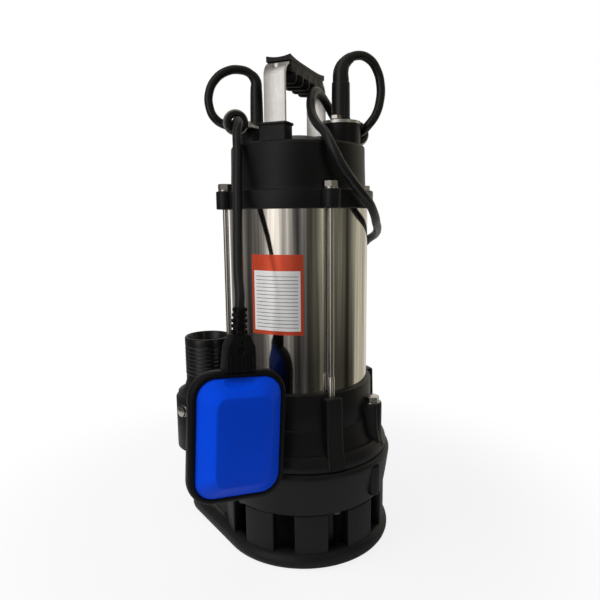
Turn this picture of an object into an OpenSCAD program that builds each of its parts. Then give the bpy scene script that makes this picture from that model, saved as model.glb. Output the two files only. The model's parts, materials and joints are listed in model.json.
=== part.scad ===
// Submersible sewage pump with a float switch, as an assembly of separate pieces.
// Millimetres. The origin is on the motor axis at the floor, +Z is up and -X is the outlet side.

/* [Motor barrel] */
// Outside diameter of the steel barrel
barrel_d = 130; // [122:1:140]
// Wall of the barrel
barrel_wall = 1.5; // [1:0.1:2.5]
// Length of barrel that shows between the oil housing and the head
barrel_show = 161; // [150:1:240]
// Depth that each end of the barrel goes into its seat
barrel_seat = 6; // [4:0.5:9]
// Thickness of every flat gasket
gasket_thk = 1; // [0.5:0.1:1.5]

/* [Foot and strainer] */
// How far the round end of the foot reaches past the drum
foot_lip = 2; // [0:0.5:12]
// Radius of the narrow end of the foot, under the outlet
tip_r = 33; // [26:1:45]
// Distance from the motor axis to the centre of the narrow end
tip_x = 92; // [84:1:110]
// Thickness of the foot plate
foot_thk = 8; // [5:0.5:12]
// Radius of the rolled rim
rim_r = 7; // [5:0.5:9]
// Height of the strainer pillars
strainer_h = 42; // [30:1:60]
// Number of strainer pillars
pillar_count = 10; // [8:1:12]
// Angle that one pillar covers
pillar_angle = 22; // [16:1:26]
// Radial thickness of a pillar
pillar_thk = 10; // [6:1:12]
// Direction of the first pillar
pillar_start = -63; // [-90:1:0]
// Diameter of the strainer screws
strainer_screw_d = 5; // [4:0.5:6]

/* [Volute and outlet] */
// Radius of the drum
drum_r = 82; // [80:0.5:90]
// Height of the volute, from its lower face to the casing gasket
drum_h = 43; // [40:1:60]
// Shift of the drum and foot from the motor axis, along +X
drum_shift = 3; // [0:0.5:5]
// Thickness of the suction cover
cover_thk = 7; // [5:0.5:10]
// Radius of the suction eye
eye_r = 24; // [18:1:30]
// Diameter of the suction cover's screws
cover_screw_d = 4; // [3:0.5:5]
// Distance from the motor axis to the outlet axis
outlet_x = 105; // [102:1:120]
// Outside diameter of the outlet socket
socket_d = 71; // [66:1:80]
// Height of the outlet socket's top above the drum's lower face
socket_top = 74.5; // [70:0.5:90]
// Length of thread in the outlet socket
thread_len = 24; // [16:1:26]
// Diameter of the outlet thread
thread_d = 59; // [54:0.5:60]
// Outside diameter of the hose tail's barbs
barb_d = 46; // [40:1:50]
// Height of a barb's groove
barb_step = 1.2; // [0.6:0.1:2]
// Bore of the hose tail
tail_bore_d = 36; // [30:1:38]
// Height of the hose tail above the socket
tail_h = 62.5; // [56:0.5:90]
// Number of barbs
barb_count = 5; // [3:1:7]
// Diameter of the lock screw in the outlet socket
lock_screw_d = 6; // [4:1:8]

/* [Oil housing] */
// Height of the oil housing, from the casing gasket to its top edge
housing_h = 62; // [58:1:80]
// Thickness of the wall between the pump chamber and the oil
back_wall = 8; // [6:0.5:12]
// Radius of the oil chamber
oil_r = 50; // [40:1:52]
// Diameter of the casing bolts
casing_bolt_d = 8; // [6:1:10]
// Distance from the drum's edge in to the circle of casing bolts
bolt_inset = 9; // [6:0.5:12]
// Height of the bolt bosses above the oil housing's lower face
bolt_boss_h = 42; // [30:1:50]

/* [Shaft, bearings and seals] */
// Diameter of the shaft in the lower bearing
shaft_d = 20; // [16:0.5:22]
// Diameter of the shaft in the upper bearing
shaft_top_d = 17; // [14:0.5:17]
// Diameter of the shaft in the impeller
shaft_end_d = 14; // [12:0.5:15]
// Outside diameter of the lower bearing
lower_bearing_d = 47; // [44:0.5:52]
// Width of the lower bearing
lower_bearing_w = 14; // [12:0.5:16]
// Outside diameter of the upper bearing
upper_bearing_d = 40; // [38:0.5:44]
// Width of the upper bearing
upper_bearing_w = 12; // [10:0.5:14]
// Outside diameter of the mechanical seal's seat
seal_d = 34; // [32:0.5:38]
// Diameter of the impeller
impeller_d = 100; // [80:1:108]
// Depth of the impeller's vanes
vane_h = 16; // [10:1:18]
// Number of impeller vanes
vane_count = 6; // [4:1:8]

/* [Motor core] */
// Length of the stator core
stator_h = 76; // [60:1:80]
// Diameter of the rotor
rotor_d = 66; // [56:1:70]
// Air gap between rotor and stator
air_gap = 0.4; // [0.3:0.05:1]
// Length of the end turns at each end of the stator
winding_h = 13; // [8:1:14]

/* [Head and tie rods] */
// Height of the head's flange
flange_h = 16; // [12:1:20]
// Height of the head above its flange
head_h = 44; // [40:1:60]
// Wall of the head
head_wall = 5; // [3:0.5:6]
// Height of the gland towers above the head
tower_h = 14; // [10:1:20]
// Distance of the gland towers from the motor axis
tower_x = 42; // [38:0.5:43]
// Diameter of the gland towers
tower_d = 35; // [32:0.5:36]
// Diameter of the tie rods
rod_d = 6; // [5:0.5:7]
// Clear space between a tie rod and the barrel
rod_gap = 3; // [2:0.5:5]
// Diameter of the run capacitor
capacitor_d = 34; // [26:1:36]
// Height of the run capacitor
capacitor_h = 50; // [40:1:54]

/* [Handle] */
// Distance between the middles of the handle's legs
handle_span = 98; // [90:1:100]
// Height of the handle's top bar above the head
handle_rise = 60; // [52:1:80]
// Width of the handle strap
strap_w = 20; // [16:1:24]
// Thickness of the handle strap
strap_t = 2.5; // [2:0.1:4]
// Distance from the middle of each handle leg in to the end of the grip
grip_inset = 11; // [10:0.5:14]
// Width of the handle grip
grip_w = 23; // [22:0.5:30]

/* [Glands and cables] */
// Diameter of both cables
cord_d = 8; // [7:0.5:8.5]
// Diameter of the power cable's bend sleeve
power_sleeve_d = 16.6; // [13:0.2:17]
// Diameter of the float cable's bend sleeve
float_sleeve_d = 12.6; // [11:0.2:16]
// Thickness of the gland plates
plate_thk = 2.5; // [2:0.1:3]
// Diameter of the gland screws
gland_screw_d = 5; // [4:0.5:5]
// Outside diameter of the grommets
grommet_d = 20; // [19:0.5:22]
// Thickness of the grommets along the cable
grommet_w = 10; // [8:0.5:11]
// Turns in each layer of the cord's coil
coil_turns = 3.125; // [2.125:0.5:3.125]
// Radius of the coil's outermost turn, at the middle of the cord
coil_r = 61; // [56:1:64]

/* [Float switch] */
// Width of the float
float_w = 81; // [74:1:84]
// Height of the float's body
float_h = 107; // [100:1:110]
// Thickness of the float
float_t = 40; // [34:1:40]
// Thickness of the float's rim band
float_rim_t = 12; // [8:0.5:14]
// Height of the cable boot above the float's body
boot_h = 28; // [24:1:36]
// Height of the ribbed relief above the boot
relief_h = 22; // [16:1:30]
// Diameter of the ball in the float
ball_d = 14; // [10:1:16]
// Travel of the ball
ball_travel = 20; // [10:1:22]

/* [Hidden] */
$fn = 96;

// Clearances
eps = 0.01;
slip = 0.1;
running = 0.05;
hole_slack = 0.3;

// Colours
black_plastic = [0.09, 0.09, 0.1];
black_rubber = [0.06, 0.06, 0.065];
steel = [0.78, 0.78, 0.77];
dull_steel = [0.55, 0.56, 0.57];
copper = [0.72, 0.42, 0.22];
float_blue = [0.02, 0.45, 0.95];

// Heights of the stack, from the floor up
z_cover = foot_thk + strainer_h;
z_chamber = z_cover + cover_thk;
z_joint = z_cover + drum_h;
z_house = z_joint + gasket_thk;
z_oil = z_house + back_wall;
z_house_top = z_house + housing_h;
z_seat = z_house_top - barrel_seat - gasket_thk;
z_barrel = z_seat + gasket_thk;
z_flange = z_house_top + barrel_show;
z_barrel_top = z_flange + barrel_seat;
z_gasket_top = z_barrel_top + gasket_thk;
z_lug = z_flange + flange_h;
z_head = z_lug + head_h;
z_gland = z_head + tower_h;
z_plate = z_gland + plate_thk;

// Barrel and everything that fits in it
barrel_r = barrel_d / 2;
barrel_ir = barrel_r - barrel_wall;
core_r = barrel_ir - slip;
core_wall = 5.5;
stack_ir = core_r - core_wall;

// Lower bracket and stator
bracket_thk = 8;
bracket_spigot = 10;
z_spigot = z_seat - bracket_spigot;
bracket_spigot_r = stack_ir + 1;
hub_wall = 8.5;
z_bracket_top = z_barrel + bracket_thk;
z_stator = z_bracket_top + lower_bearing_w + winding_h + 1;
z_stator_top = z_stator + stator_h;
z_lower_bearing = z_bracket_top;

// Upper bracket, under the head's spigot
spigot_h = 11;
upper_disc = 8;
z_upper_top = z_flange - spigot_h;
z_upper_bearing = z_upper_top - upper_bearing_w - 6;
upper_hub_r = upper_bearing_d / 2 + 6;

// Tie rods, on the diagonals
rod_r = rod_d / 2;
rod_circle_r = barrel_r + rod_gap + rod_r;
rod_boss_r = rod_r + 4.4;
rod_lug_r = rod_r + 5;
rod_angles = [45, 135, 225, 315];
rod_grip = 28;
washer_t = 1.4;
nut_h = 5.5;
nut_af = 10;
z_rod_low = z_house_top - 2 - rod_grip;
z_rod_high = z_lug + washer_t + nut_h + 2;

// Head
head_r = barrel_r - 3;
flange_r = barrel_r + 5;
head_round = 8;
head_roof = 8;
head_dome = 2;
block_w = 30;
block_d = 14;
block_h = 16;
block_y = 31;
wire_d = 3;
wire_apart = 3;
wire_drop = 20;
gland_thread_len = 12;
cavity_r = head_r - head_wall;

// Volute, foot and screws
cover_recess_r = drum_r - 3;
chamber_r = cover_recess_r - 9;
throat_wall = 22;
throat_r = drum_r - throat_wall;
foot_r = drum_r + foot_lip;
bolt_circle_r = drum_r - bolt_inset;
flange_band = 13;
cover_screw_r = (cover_recess_r + chamber_r) / 2;
cover_screw_angles = [for (i = [0:4]) pillar_start + 360 / pillar_count * (2 * i + 0.5)];
post_r = strainer_screw_d / 2 + 4.5;
post_circle_r = cover_recess_r - pillar_thk - post_r - 3;
post_angles = [for (i = [0:3]) pillar_start + 180 / pillar_count + 90 * i];
screw_head_h = 3;
pillar_r = drum_r - 2;
tip_shift = tip_x + drum_shift;
tangent_angle = asin((foot_r - tip_r) / tip_shift);
bolt_angles = [0, 90, 270];
bolt_boss_r = casing_bolt_d / 2 + 5.7;
bolt_bite = 11;
bolt_head_af = 1.625 * casing_bolt_d;
bolt_head_h = 0.65 * casing_bolt_d;
peg_angles = [-16, 104, 224];
peg_r = 5;
peg_h = 22;
rim_flat = 1;
side_inset = 0.3;
rim_slices = 7;

// Outlet
z_outlet = z_cover + 22;
z_socket = z_cover + 19;
z_socket_top = z_cover + socket_top;
elbow_r = 27;
elbow_len = outlet_x - drum_r + 12;
elbow_bore_r = 19;
lock_angle = -108;
z_lock = z_socket_top - 11;
collar_r = thread_d / 2 + 3.5;
collar_h = 6;
barb_r = barb_d / 2;
barb_zone = 34;
barb_pitch = barb_zone / barb_count;
tail_root_r = barb_r - barb_step;

// Shaft, impeller and seals
z_nut = z_chamber + 1.5;
nut_thk = 8;
z_hub = z_nut + nut_thk;
z_shoulder = z_house - 4;
disc_t = 4;
z_disc = z_shoulder - disc_t - 1;
hub_r = shaft_end_d / 2 + 6;
key_w = 5;
key_depth = 2.2;
z_key = z_hub + 3;
key_len = z_shoulder - z_key - 2;
seat_ledge = 2;
seal_gap = 0.35;
seal_head_h = 20;
lip_seal_h = 7;

// Handle
strap_bend = 9;
leg_y = handle_span / 2;
z_bar = z_head + handle_rise;
boss_h = 12;
boss_depth = 16;
boss_wall = 3;
grip_len = handle_span - 2 * grip_inset;
grip_end_len = 16;
grip_end_lap = 4;
grip_round = 6.5;
grip_ribs = 5;
grip_over = 5;

// Glands, at +X for the power cable and at -X for the float cable
gland_screw_r = tower_d / 2 - 4.6;
sleeve_h = 37;
sleeve_taper = 9;
sleeve_root = 12;
z_sleeve_top = z_plate + sleeve_h;
eye_ring_r = grommet_d / 2 + 1.5;
eye_hole_r = grommet_d / 2 - 2;
eye_angle = -50;
eye_side = [-6, -31];
eye_lift_float = 2.8;
eye_lift_power = -5.5;
float_eye = [eye_side[0] - tower_x, eye_side[1], z_plate + eye_lift_float - plate_thk / 2];
power_eye = [tower_x - eye_side[0], -eye_side[1], z_plate + eye_lift_power - plate_thk / 2];

// Cables
cord_r = cord_d / 2;
cord_sides = 8;
coil_sides = 6;
rings_per_turn = 24;
pivot_gap = 0.4;
eye_reach = 8;
eye_dir = [cos(eye_angle), sin(eye_angle), 0];
loop_end = float_eye + eye_dir * (grommet_w / 2 + 0.5);
float_pivot = loop_end + eye_dir * (cord_r + pivot_gap);

// Float
float_at = [-6, -119.5, 137.5];
float_turn = [-3, 4, 46.5];
float_corner = 21;
face_inset = 5.5;
panel_inset = 17.5;
panel_corner = 9;
float_wall = 2;
boot_w = 29;
boot_top_w = 21;
boot_t = 22;
relief_r = 7.5;
relief_rings = 5;
z_relief_top = float_h / 2 + boot_h + relief_h;
cage_wall = 1.5;
z_ball = -26;

// Coil of the unseen length, on the floor behind the pump
coil_at = [-68, 166, 0];
coil_lift = 1.6;
coil_layers = 4;
coil_start = -90;
coil_y = coil_at[1] - coil_r;
coil_air = 0.7;
coil_pitch = cord_d + coil_air;
coil_inner_r = coil_r - coil_pitch * coil_turns;
coil_span = coil_turns + 0.5;
z_coil_top = coil_lift + cord_r + (coil_layers - 1) * coil_pitch;
coil_total = coil_layers * coil_turns + (coil_layers - 1) * 0.5;
tie_t = 1.2;
tie_w = 9;

// Plug
plug_d = 30;
plug_len = 34;
plug_tail = 24;
plug_root = 10;
plug_at = [-134, coil_y - 5, plug_d / 2];

// Power cable, from its sleeve to the coil
power_route = [
  [tower_x, 0, z_sleeve_top], [tower_x, 0, z_sleeve_top + 6], [45, 5, 446], [53, 12, 452], [62, 20, 450],
  [68, 26, 441], [71, 28, 428], [71, 26, 414], [68, 22, 401], [62, 19, 392],
  power_eye + eye_dir * eye_reach, power_eye - eye_dir * eye_reach, [36, 44, 389], [28, 44, 396],
  [22, 38, 406], [19, 29, 415], [17, 16, 422], [17, 2, 423], [18, -11, 414],
  [22, -21, 401], [31, -32, 389], [42, -43, 380], [51, -50, 367], [59, -47, 351], [67, -37, 336],
  [74, -22, 323], [75, -5, 312], [72, 14, 304], [68, 34, 298], [61, 53, 292], [47, 70, 284],
  [31, 86, 268], [20, 100, 244], [14, 110, 210], [12, 116, 170], [12, 120, 125], [12, 121, 80],
  [10, 119, 48], [3, 114, 24], [-13, 108, 10], [-34, coil_y, coil_lift + cord_r],
  [coil_at[0] + cord_d, coil_y, coil_lift + cord_r]
];

// Float cable, the fixed loop from its sleeve through the grommet
float_loop_route = [
  [-tower_x, 0, z_sleeve_top], [-tower_x, 0, z_sleeve_top + 5.5], [-46, -4, 443], [-54, -10, 446],
  [-64, -17, 444],
  [-73, -23, 436], [-78, -26, 424], [-78, -26, 412], [-74, -24, 402], [-66, -19, 396],
  float_eye - eye_dir * eye_reach, loop_end
];

// Plug lead, from the coil's top layer down to the plug
plug_lead_route = [
  [coil_at[0] - cord_d, coil_y, z_coil_top], [coil_at[0] - 2 * cord_d, coil_y, z_coil_top],
  [-93, coil_y - 3, z_coil_top - 3.5], [-102, plug_at[1], plug_at[2] + 6],
  [-110, plug_at[1], plug_at[2] + 1],
  plug_at + [plug_tail - plug_root + 4, 0, 0], plug_at + [plug_tail - plug_root, 0, 0]
];

function unit(v) = v / norm(v);

// A point of the float's own frame, in the part's frame
function turn_x(p, a) = [p[0], p[1] * cos(a) - p[2] * sin(a), p[1] * sin(a) + p[2] * cos(a)];
function turn_y(p, a) = [p[0] * cos(a) + p[2] * sin(a), p[1], -p[0] * sin(a) + p[2] * cos(a)];
function turn_z(p, a) = [p[0] * cos(a) - p[1] * sin(a), p[0] * sin(a) + p[1] * cos(a), p[2]];
function from_float(p) =
  float_at + turn_z(turn_y(turn_x(p, float_turn[0]), float_turn[1]), float_turn[2]);

// Float cable, the stretch that swings with the float
drop_route = [
  float_pivot, [-38, -44, 393], [-34.5, -53.5, 384], [-30, -62, 363], [-25.5, -72, 337], [-21, -81, 314],
  [-14.5, -94, 287], [-9, -104, 263], from_float([0, 0, z_relief_top + cord_d]),
  from_float([0, 0, z_relief_top])
];

// Direction of a route at point i
function heading(p, i) =
  let (a = p[max(i - 1, 0)], b = p[min(i + 1, len(p) - 1)]) unit(b - a);
function carried(side, t) = unit(side - (side * t) * t);
function first_side(t) = unit(cross(t, abs(t[2]) < 0.9 ? [0, 0, 1] : [1, 0, 0]));

// Sideways directions that follow a route without twisting
function sides_of(p) =
  [for (i = 0, s = first_side(heading(p, 0)); i < len(p);
        i = i + 1, s = i < len(p) ? carried(s, heading(p, i)) : s) s];

function tube_points(p, radii, n) =
  let (s = sides_of(p))
  [for (i = [0:len(p) - 1]) let (t = heading(p, i), w = cross(t, s[i])) for (k = [0:n - 1])
    p[i] + radii[i] * (cos(360 * k / n) * s[i] + sin(360 * k / n) * w)];

function tube_faces(rings, n) = concat(
  [for (i = [0:rings - 2], k = [0:n - 1])
    [i * n + k, (i + 1) * n + k, (i + 1) * n + (k + 1) % n]],
  [for (i = [0:rings - 2], k = [0:n - 1])
    [i * n + k, (i + 1) * n + (k + 1) % n, i * n + (k + 1) % n]],
  [for (k = [1:n - 2]) [0, k, k + 1]],
  [for (k = [1:n - 2]) [(rings - 1) * n, (rings - 1) * n + k + 1, (rings - 1) * n + k]]
);

// Tube along a route, with one radius per point
module tube(p, radii, n) {
  polyhedron(points = tube_points(p, radii, n), faces = tube_faces(len(p), n));
}

function even_radii(p) = [for (q = p) cord_r];

// The coil's radius and height after t turns: each layer spirals in or out at a steady rate,
// and the half turn where the spiral reverses climbs to the next layer
function coil_layer(t) = min(floor(t / coil_span + eps * eps), coil_layers - 1);
function coil_radius(t) =
  let (k = coil_layer(t), u = t - k * coil_span, inward = k % 2 == 0, over = u - coil_turns)
  u <= coil_turns
    ? (inward ? coil_r - coil_pitch * u : coil_inner_r + coil_pitch * u)
    : (inward ? coil_inner_r : coil_r) + (inward ? -1 : 1) * coil_pitch * min(over, 0.5 - over);
function coil_height(t) =
  let (k = coil_layer(t), over = t - k * coil_span - coil_turns)
  coil_lift + cord_r + coil_pitch * (k + (over > 0 ? over / 0.5 : 0));
function coil_point(t) =
  let (a = coil_start - 360 * t)
  [coil_at[0] + coil_radius(t) * cos(a), coil_at[1] + coil_radius(t) * sin(a), coil_height(t)];

coil_wound = [for (i = [0:round(coil_total * rings_per_turn)]) coil_point(i / rings_per_turn)];
coil_route = concat(
  [coil_wound[0] + [cord_d, 0, 0]],
  coil_wound,
  [coil_wound[len(coil_wound) - 1] - [cord_d, 0, 0]]
);

// Least gap of the coil to itself, half a turn apart or more
coil_gap = min([for (i = [0:len(coil_wound) - 1], j = [i + rings_per_turn / 2:len(coil_wound) - 1])
  norm(coil_wound[i] - coil_wound[j])]) - cord_d;

function route_len(p) = len(p) < 2 ? 0 : let (d = [for (i = [1:len(p) - 1]) norm(p[i] - p[i - 1])])
  d * [for (x = d) 1];
echo(coil_gap_mm = coil_gap);
echo(power_cord_mm =
  sleeve_h + route_len(power_route) + route_len(coil_route) + route_len(plug_lead_route));
echo(float_cable_mm = sleeve_h + route_len(float_loop_route) + route_len(drop_route));

module at_polar(r, a) {
  rotate(a) translate([r, 0, 0]) children();
}

module ring(ro, ri, h) {
  difference() {
    cylinder(r = ro, h = h);
    translate([0, 0, -1]) cylinder(r = ri, h = h + 2);
  }
}

module hex_prism(af, h) {
  cylinder(d = af / cos(30), h = h, $fn = 6);
}

// Hex screw with its head on z = 0 and its shank below
module hex_screw(d, af, head_h, len) {
  hex_prism(af, head_h);
  translate([0, 0, -len]) cylinder(d = d, h = len + eps);
}

// Pan screw with its head below z = 0 and its shank above
module pan_screw(d, head_d, head_h, len) {
  translate([0, 0, -head_h]) cylinder(d = head_d, h = head_h);
  translate([0, 0, -eps]) cylinder(d = d, h = len + eps);
}

// Foot outline: a large and a small circle joined by straight sides just inside their tangents
module foot_outline(inset) {
  n = [-sin(tangent_angle), cos(tangent_angle)];
  big = [drum_shift, 0];
  small = [-tip_x, 0];
  down = [n[0], -n[1]];
  big_r = foot_r - inset - side_inset;
  small_r = tip_r - inset - side_inset;
  translate(big) circle(r = foot_r - inset);
  translate(small) circle(r = tip_r - inset);
  polygon([big + big_r * n, small + small_r * n, small + small_r * down, big + big_r * down]);
}

// Rolled rim along the foot outline, as a stack of slices of its round section
module foot_rim() {
  slice = (2 * rim_r - rim_flat) / rim_slices;
  for (i = [0:rim_slices - 1]) {
    off_centre = (i + 0.5) * slice - (rim_r - rim_flat);
    inset = rim_r - sqrt(rim_r * rim_r - off_centre * off_centre);
    translate([0, 0, i * slice]) linear_extrude(height = slice + eps) difference() {
      foot_outline(inset);
      foot_outline(2 * rim_r - inset);
    }
  }
}

module pillars() {
  step = 360 / pillar_count;
  for (i = [0:pillar_count - 1])
    translate([drum_shift, 0, foot_thk - eps]) rotate(pillar_start + step * i)
      intersection() {
        ring(pillar_r, pillar_r - pillar_thk, strainer_h + eps);
        linear_extrude(height = strainer_h + eps)
          polygon([[0, 0], [2 * pillar_r, -2 * pillar_r * tan(pillar_angle / 2)],
                   [2 * pillar_r, 2 * pillar_r * tan(pillar_angle / 2)]]);
      }
}

module foot_plate() {
  color(black_plastic) difference() {
    union() {
      linear_extrude(height = foot_thk) foot_outline(rim_r);
      foot_rim();
      pillars();
      translate([drum_shift, 0, foot_thk - eps]) for (a = post_angles)
        at_polar(post_circle_r, a) cylinder(r = post_r, h = strainer_h + eps);
    }
    translate([drum_shift, 0, 0]) for (a = post_angles) at_polar(post_circle_r, a) {
      translate([0, 0, -1]) cylinder(d = strainer_screw_d + 2 * slip, h = z_cover + 2);
      translate([0, 0, -1]) cylinder(d = 2 * strainer_screw_d + 2 * hole_slack, h = screw_head_h + 2);
    }
  }
}

module strainer_screws() {
  color(steel) translate([drum_shift, 0, screw_head_h + 1]) for (a = post_angles)
    at_polar(post_circle_r, a)
      pan_screw(strainer_screw_d, 2 * strainer_screw_d, screw_head_h, z_chamber - screw_head_h - 3);
}

module suction_cover() {
  color(black_plastic) difference() {
    translate([drum_shift, 0, z_cover]) cylinder(r = cover_recess_r - slip, h = cover_thk);
    translate([0, 0, z_cover - 1]) cylinder(r = eye_r, h = cover_thk + 2);
    translate([drum_shift, 0, z_cover - 1]) for (a = post_angles)
      at_polar(post_circle_r, a) cylinder(d = strainer_screw_d + 2 * eps, h = cover_thk);
    translate([drum_shift, 0, z_cover - 1]) for (a = cover_screw_angles)
      at_polar(cover_screw_r, a) cylinder(d = cover_screw_d + 2 * slip, h = cover_thk + 2);
  }
}

module cover_screws() {
  color(steel) translate([drum_shift, 0, z_cover]) for (a = cover_screw_angles)
    at_polar(cover_screw_r, a) pan_screw(cover_screw_d, 2 * cover_screw_d, 2.5, cover_thk + 10);
}

module drum_profile() {
  polygon([[0, z_cover], [drum_r - 1.5, z_cover], [drum_r, z_cover + 1.5], [drum_r, z_joint - 10],
           [drum_r + 2.5, z_joint - 7], [drum_r + 3, z_joint - 4.5], [drum_r + 2.5, z_joint - 2],
           [drum_r - 0.5, z_joint], [0, z_joint]]);
}

module volute_casing() {
  color(black_plastic) difference() {
    union() {
      translate([drum_shift, 0, 0]) rotate_extrude() drum_profile();
      translate([-outlet_x, 0, z_outlet]) rotate([0, 90, 0]) cylinder(r = elbow_r, h = elbow_len);
      translate([-outlet_x, 0, z_outlet]) sphere(r = elbow_r);
      translate([-outlet_x, 0, z_socket]) cylinder(d = socket_d, h = z_socket_top - z_socket);
      translate([drum_shift, 0, z_joint - 4 - peg_h]) for (a = peg_angles)
        at_polar(drum_r, a) cylinder(r = peg_r, h = peg_h);
    }
    translate([0, 0, z_cover - elbow_r]) cylinder(r = outlet_x + socket_d, h = elbow_r);
    translate([drum_shift, 0, z_cover - 1]) cylinder(r = cover_recess_r, h = cover_thk + 1);
    translate([drum_shift, 0, z_cover]) cylinder(r = chamber_r, h = drum_h - flange_band);
    translate([0, 0, z_cover]) cylinder(r = throat_r, h = drum_h + 1);
    translate([-outlet_x, 0, z_outlet]) rotate([0, 90, 0])
      cylinder(r = elbow_bore_r, h = outlet_x - throat_r + 8);
    translate([-outlet_x, 0, z_outlet]) sphere(r = elbow_bore_r);
    translate([-outlet_x, 0, z_outlet]) cylinder(r = elbow_bore_r, h = z_socket_top - z_outlet);
    translate([-outlet_x, 0, z_socket_top - thread_len]) cylinder(d = thread_d, h = thread_len + 1);
    translate([-outlet_x, 0, z_lock]) rotate(lock_angle) rotate([0, 90, 0])
      cylinder(d = lock_screw_d + 2 * eps, h = socket_d);
    for (a = bolt_angles) at_polar(bolt_circle_r, a)
      translate([0, 0, z_joint - bolt_bite]) cylinder(d = casing_bolt_d + 2 * eps, h = bolt_bite + 1);
    translate([drum_shift, 0, z_cover]) for (a = cover_screw_angles)
      at_polar(cover_screw_r, a) cylinder(d = cover_screw_d + 2 * eps, h = cover_thk + 11);
    translate([drum_shift, 0, z_joint - 4 - 6]) for (a = peg_angles)
      at_polar(drum_r + peg_r / 2, a) cylinder(d = 3, h = 7);
  }
}

// Room for the outlet in the pieces above the volute
module outlet_room() {
  translate([-outlet_x, 0, z_socket]) cylinder(d = socket_d + 2 * hole_slack, h = drum_h + housing_h);
  translate([-outlet_x, 0, z_outlet]) rotate([0, 90, 0])
    cylinder(r = elbow_r + hole_slack, h = elbow_len + hole_slack);
}

module casing_gasket() {
  color(black_rubber) difference() {
    translate([drum_shift, 0, z_joint]) cylinder(r = drum_r - 3, h = gasket_thk);
    translate([0, 0, z_joint - 1]) cylinder(r = throat_r + 1, h = gasket_thk + 2);
    for (a = bolt_angles) at_polar(bolt_circle_r, a)
      translate([0, 0, z_joint - 1]) cylinder(d = casing_bolt_d + 2 * hole_slack, h = gasket_thk + 2);
    outlet_room();
  }
}

module casing_bolts() {
  color(steel) for (a = bolt_angles) at_polar(bolt_circle_r, a)
    translate([0, 0, z_house + bolt_boss_h])
      hex_screw(casing_bolt_d, bolt_head_af, bolt_head_h, bolt_boss_h + gasket_thk + bolt_bite - 1);
}

// Outline of the hose tail: thread, collar, plain neck and barbs
module tail_profile() {
  top = tail_h;
  barbs = [for (i = [0:barb_count - 1], s = [0, 1, 2])
    let (z = top - 3 - barb_zone + i * barb_pitch)
    s == 0 ? [tail_root_r, z] : s == 1 ? [barb_r, z + eps] : [barb_r, z + barb_pitch * 0.45]];
  polygon(concat(
    [[tail_bore_d / 2, -thread_len + 1], [thread_d / 2 - slip, -thread_len + 1],
     [thread_d / 2 - slip, gasket_thk], [collar_r, gasket_thk], [collar_r, collar_h - 1],
     [barb_r + 2, collar_h + 5], [barb_r - 0.4, collar_h + 9], [barb_r - 0.4, top - 4 - barb_zone]],
    barbs,
    [[tail_root_r, top - 3], [tail_root_r - 1, top - 1], [tail_root_r - 2, top], [tail_bore_d / 2, top]]));
}

module hose_tail() {
  color(black_plastic) translate([-outlet_x, 0, z_socket_top]) difference() {
    rotate_extrude() tail_profile();
    translate([0, 0, z_lock - z_socket_top]) rotate(lock_angle) rotate([0, 90, 0])
      translate([0, 0, thread_d / 2 - 4]) cylinder(d = lock_screw_d + 2 * hole_slack, h = 6);
  }
}

module hose_tail_seal() {
  color(black_rubber) translate([-outlet_x, 0, z_socket_top])
    ring(collar_r - 0.5, thread_d / 2, gasket_thk);
}

module outlet_lock_screw() {
  grip = (socket_d - thread_d) / 2 + 3;
  color(steel) translate([-outlet_x, 0, z_lock]) rotate(lock_angle) rotate([0, 90, 0])
    translate([0, 0, socket_d / 2]) hex_screw(lock_screw_d, 10, 4, grip);
}

module keyway(slack) {
  translate([shaft_end_d / 2 - key_depth, -key_w / 2 - slack, z_key - slack])
    cube([2 * key_depth + slack, key_w + 2 * slack, key_len + 2 * slack]);
}

module impeller() {
  color(dull_steel) difference() {
    union() {
      translate([0, 0, z_hub]) cylinder(r = hub_r, h = z_shoulder - z_hub);
      translate([0, 0, z_disc]) cylinder(d = impeller_d, h = disc_t);
      for (i = [0:vane_count - 1]) rotate(i * 360 / vane_count)
        translate([hub_r - 2, -2.5, z_disc - vane_h])
          cube([impeller_d / 2 - hub_r - 1, 5, vane_h + eps]);
    }
    translate([0, 0, z_hub - 1]) cylinder(d = shaft_end_d + 2 * eps, h = z_shoulder - z_hub + 2);
    keyway(eps);
  }
}

module impeller_key() {
  color(steel) keyway(0);
}

module impeller_nut() {
  color(steel) translate([0, 0, z_nut]) difference() {
    hex_prism(shaft_end_d * 1.6, nut_thk);
    translate([0, 0, -1]) cylinder(d = shaft_end_d + 2 * eps, h = nut_thk + 2);
  }
}

// Outline of the oil housing's waist, from its flange up to its rim
module housing_profile() {
  rim = barrel_r + 4.3;
  polygon([[0, z_house], [rim + 9, z_house], [rim + 8, z_house + 9], [rim + 5, z_house + 13],
           [rim + 3.2, z_house + 18], [rim + 2.2, z_house + 24], [rim + 1.8, z_house + 29],
           [rim, z_house + 30], [rim, z_house_top - 1], [rim - 1, z_house_top], [0, z_house_top]]);
}

module housing_flange_profile() {
  polygon([[0, z_house], [drum_r - 2.5, z_house], [drum_r - 1.5, z_house + 1.5],
           [drum_r - 1.5, z_house + 6], [drum_r - 4, z_house + 9], [0, z_house + 9]]);
}

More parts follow.
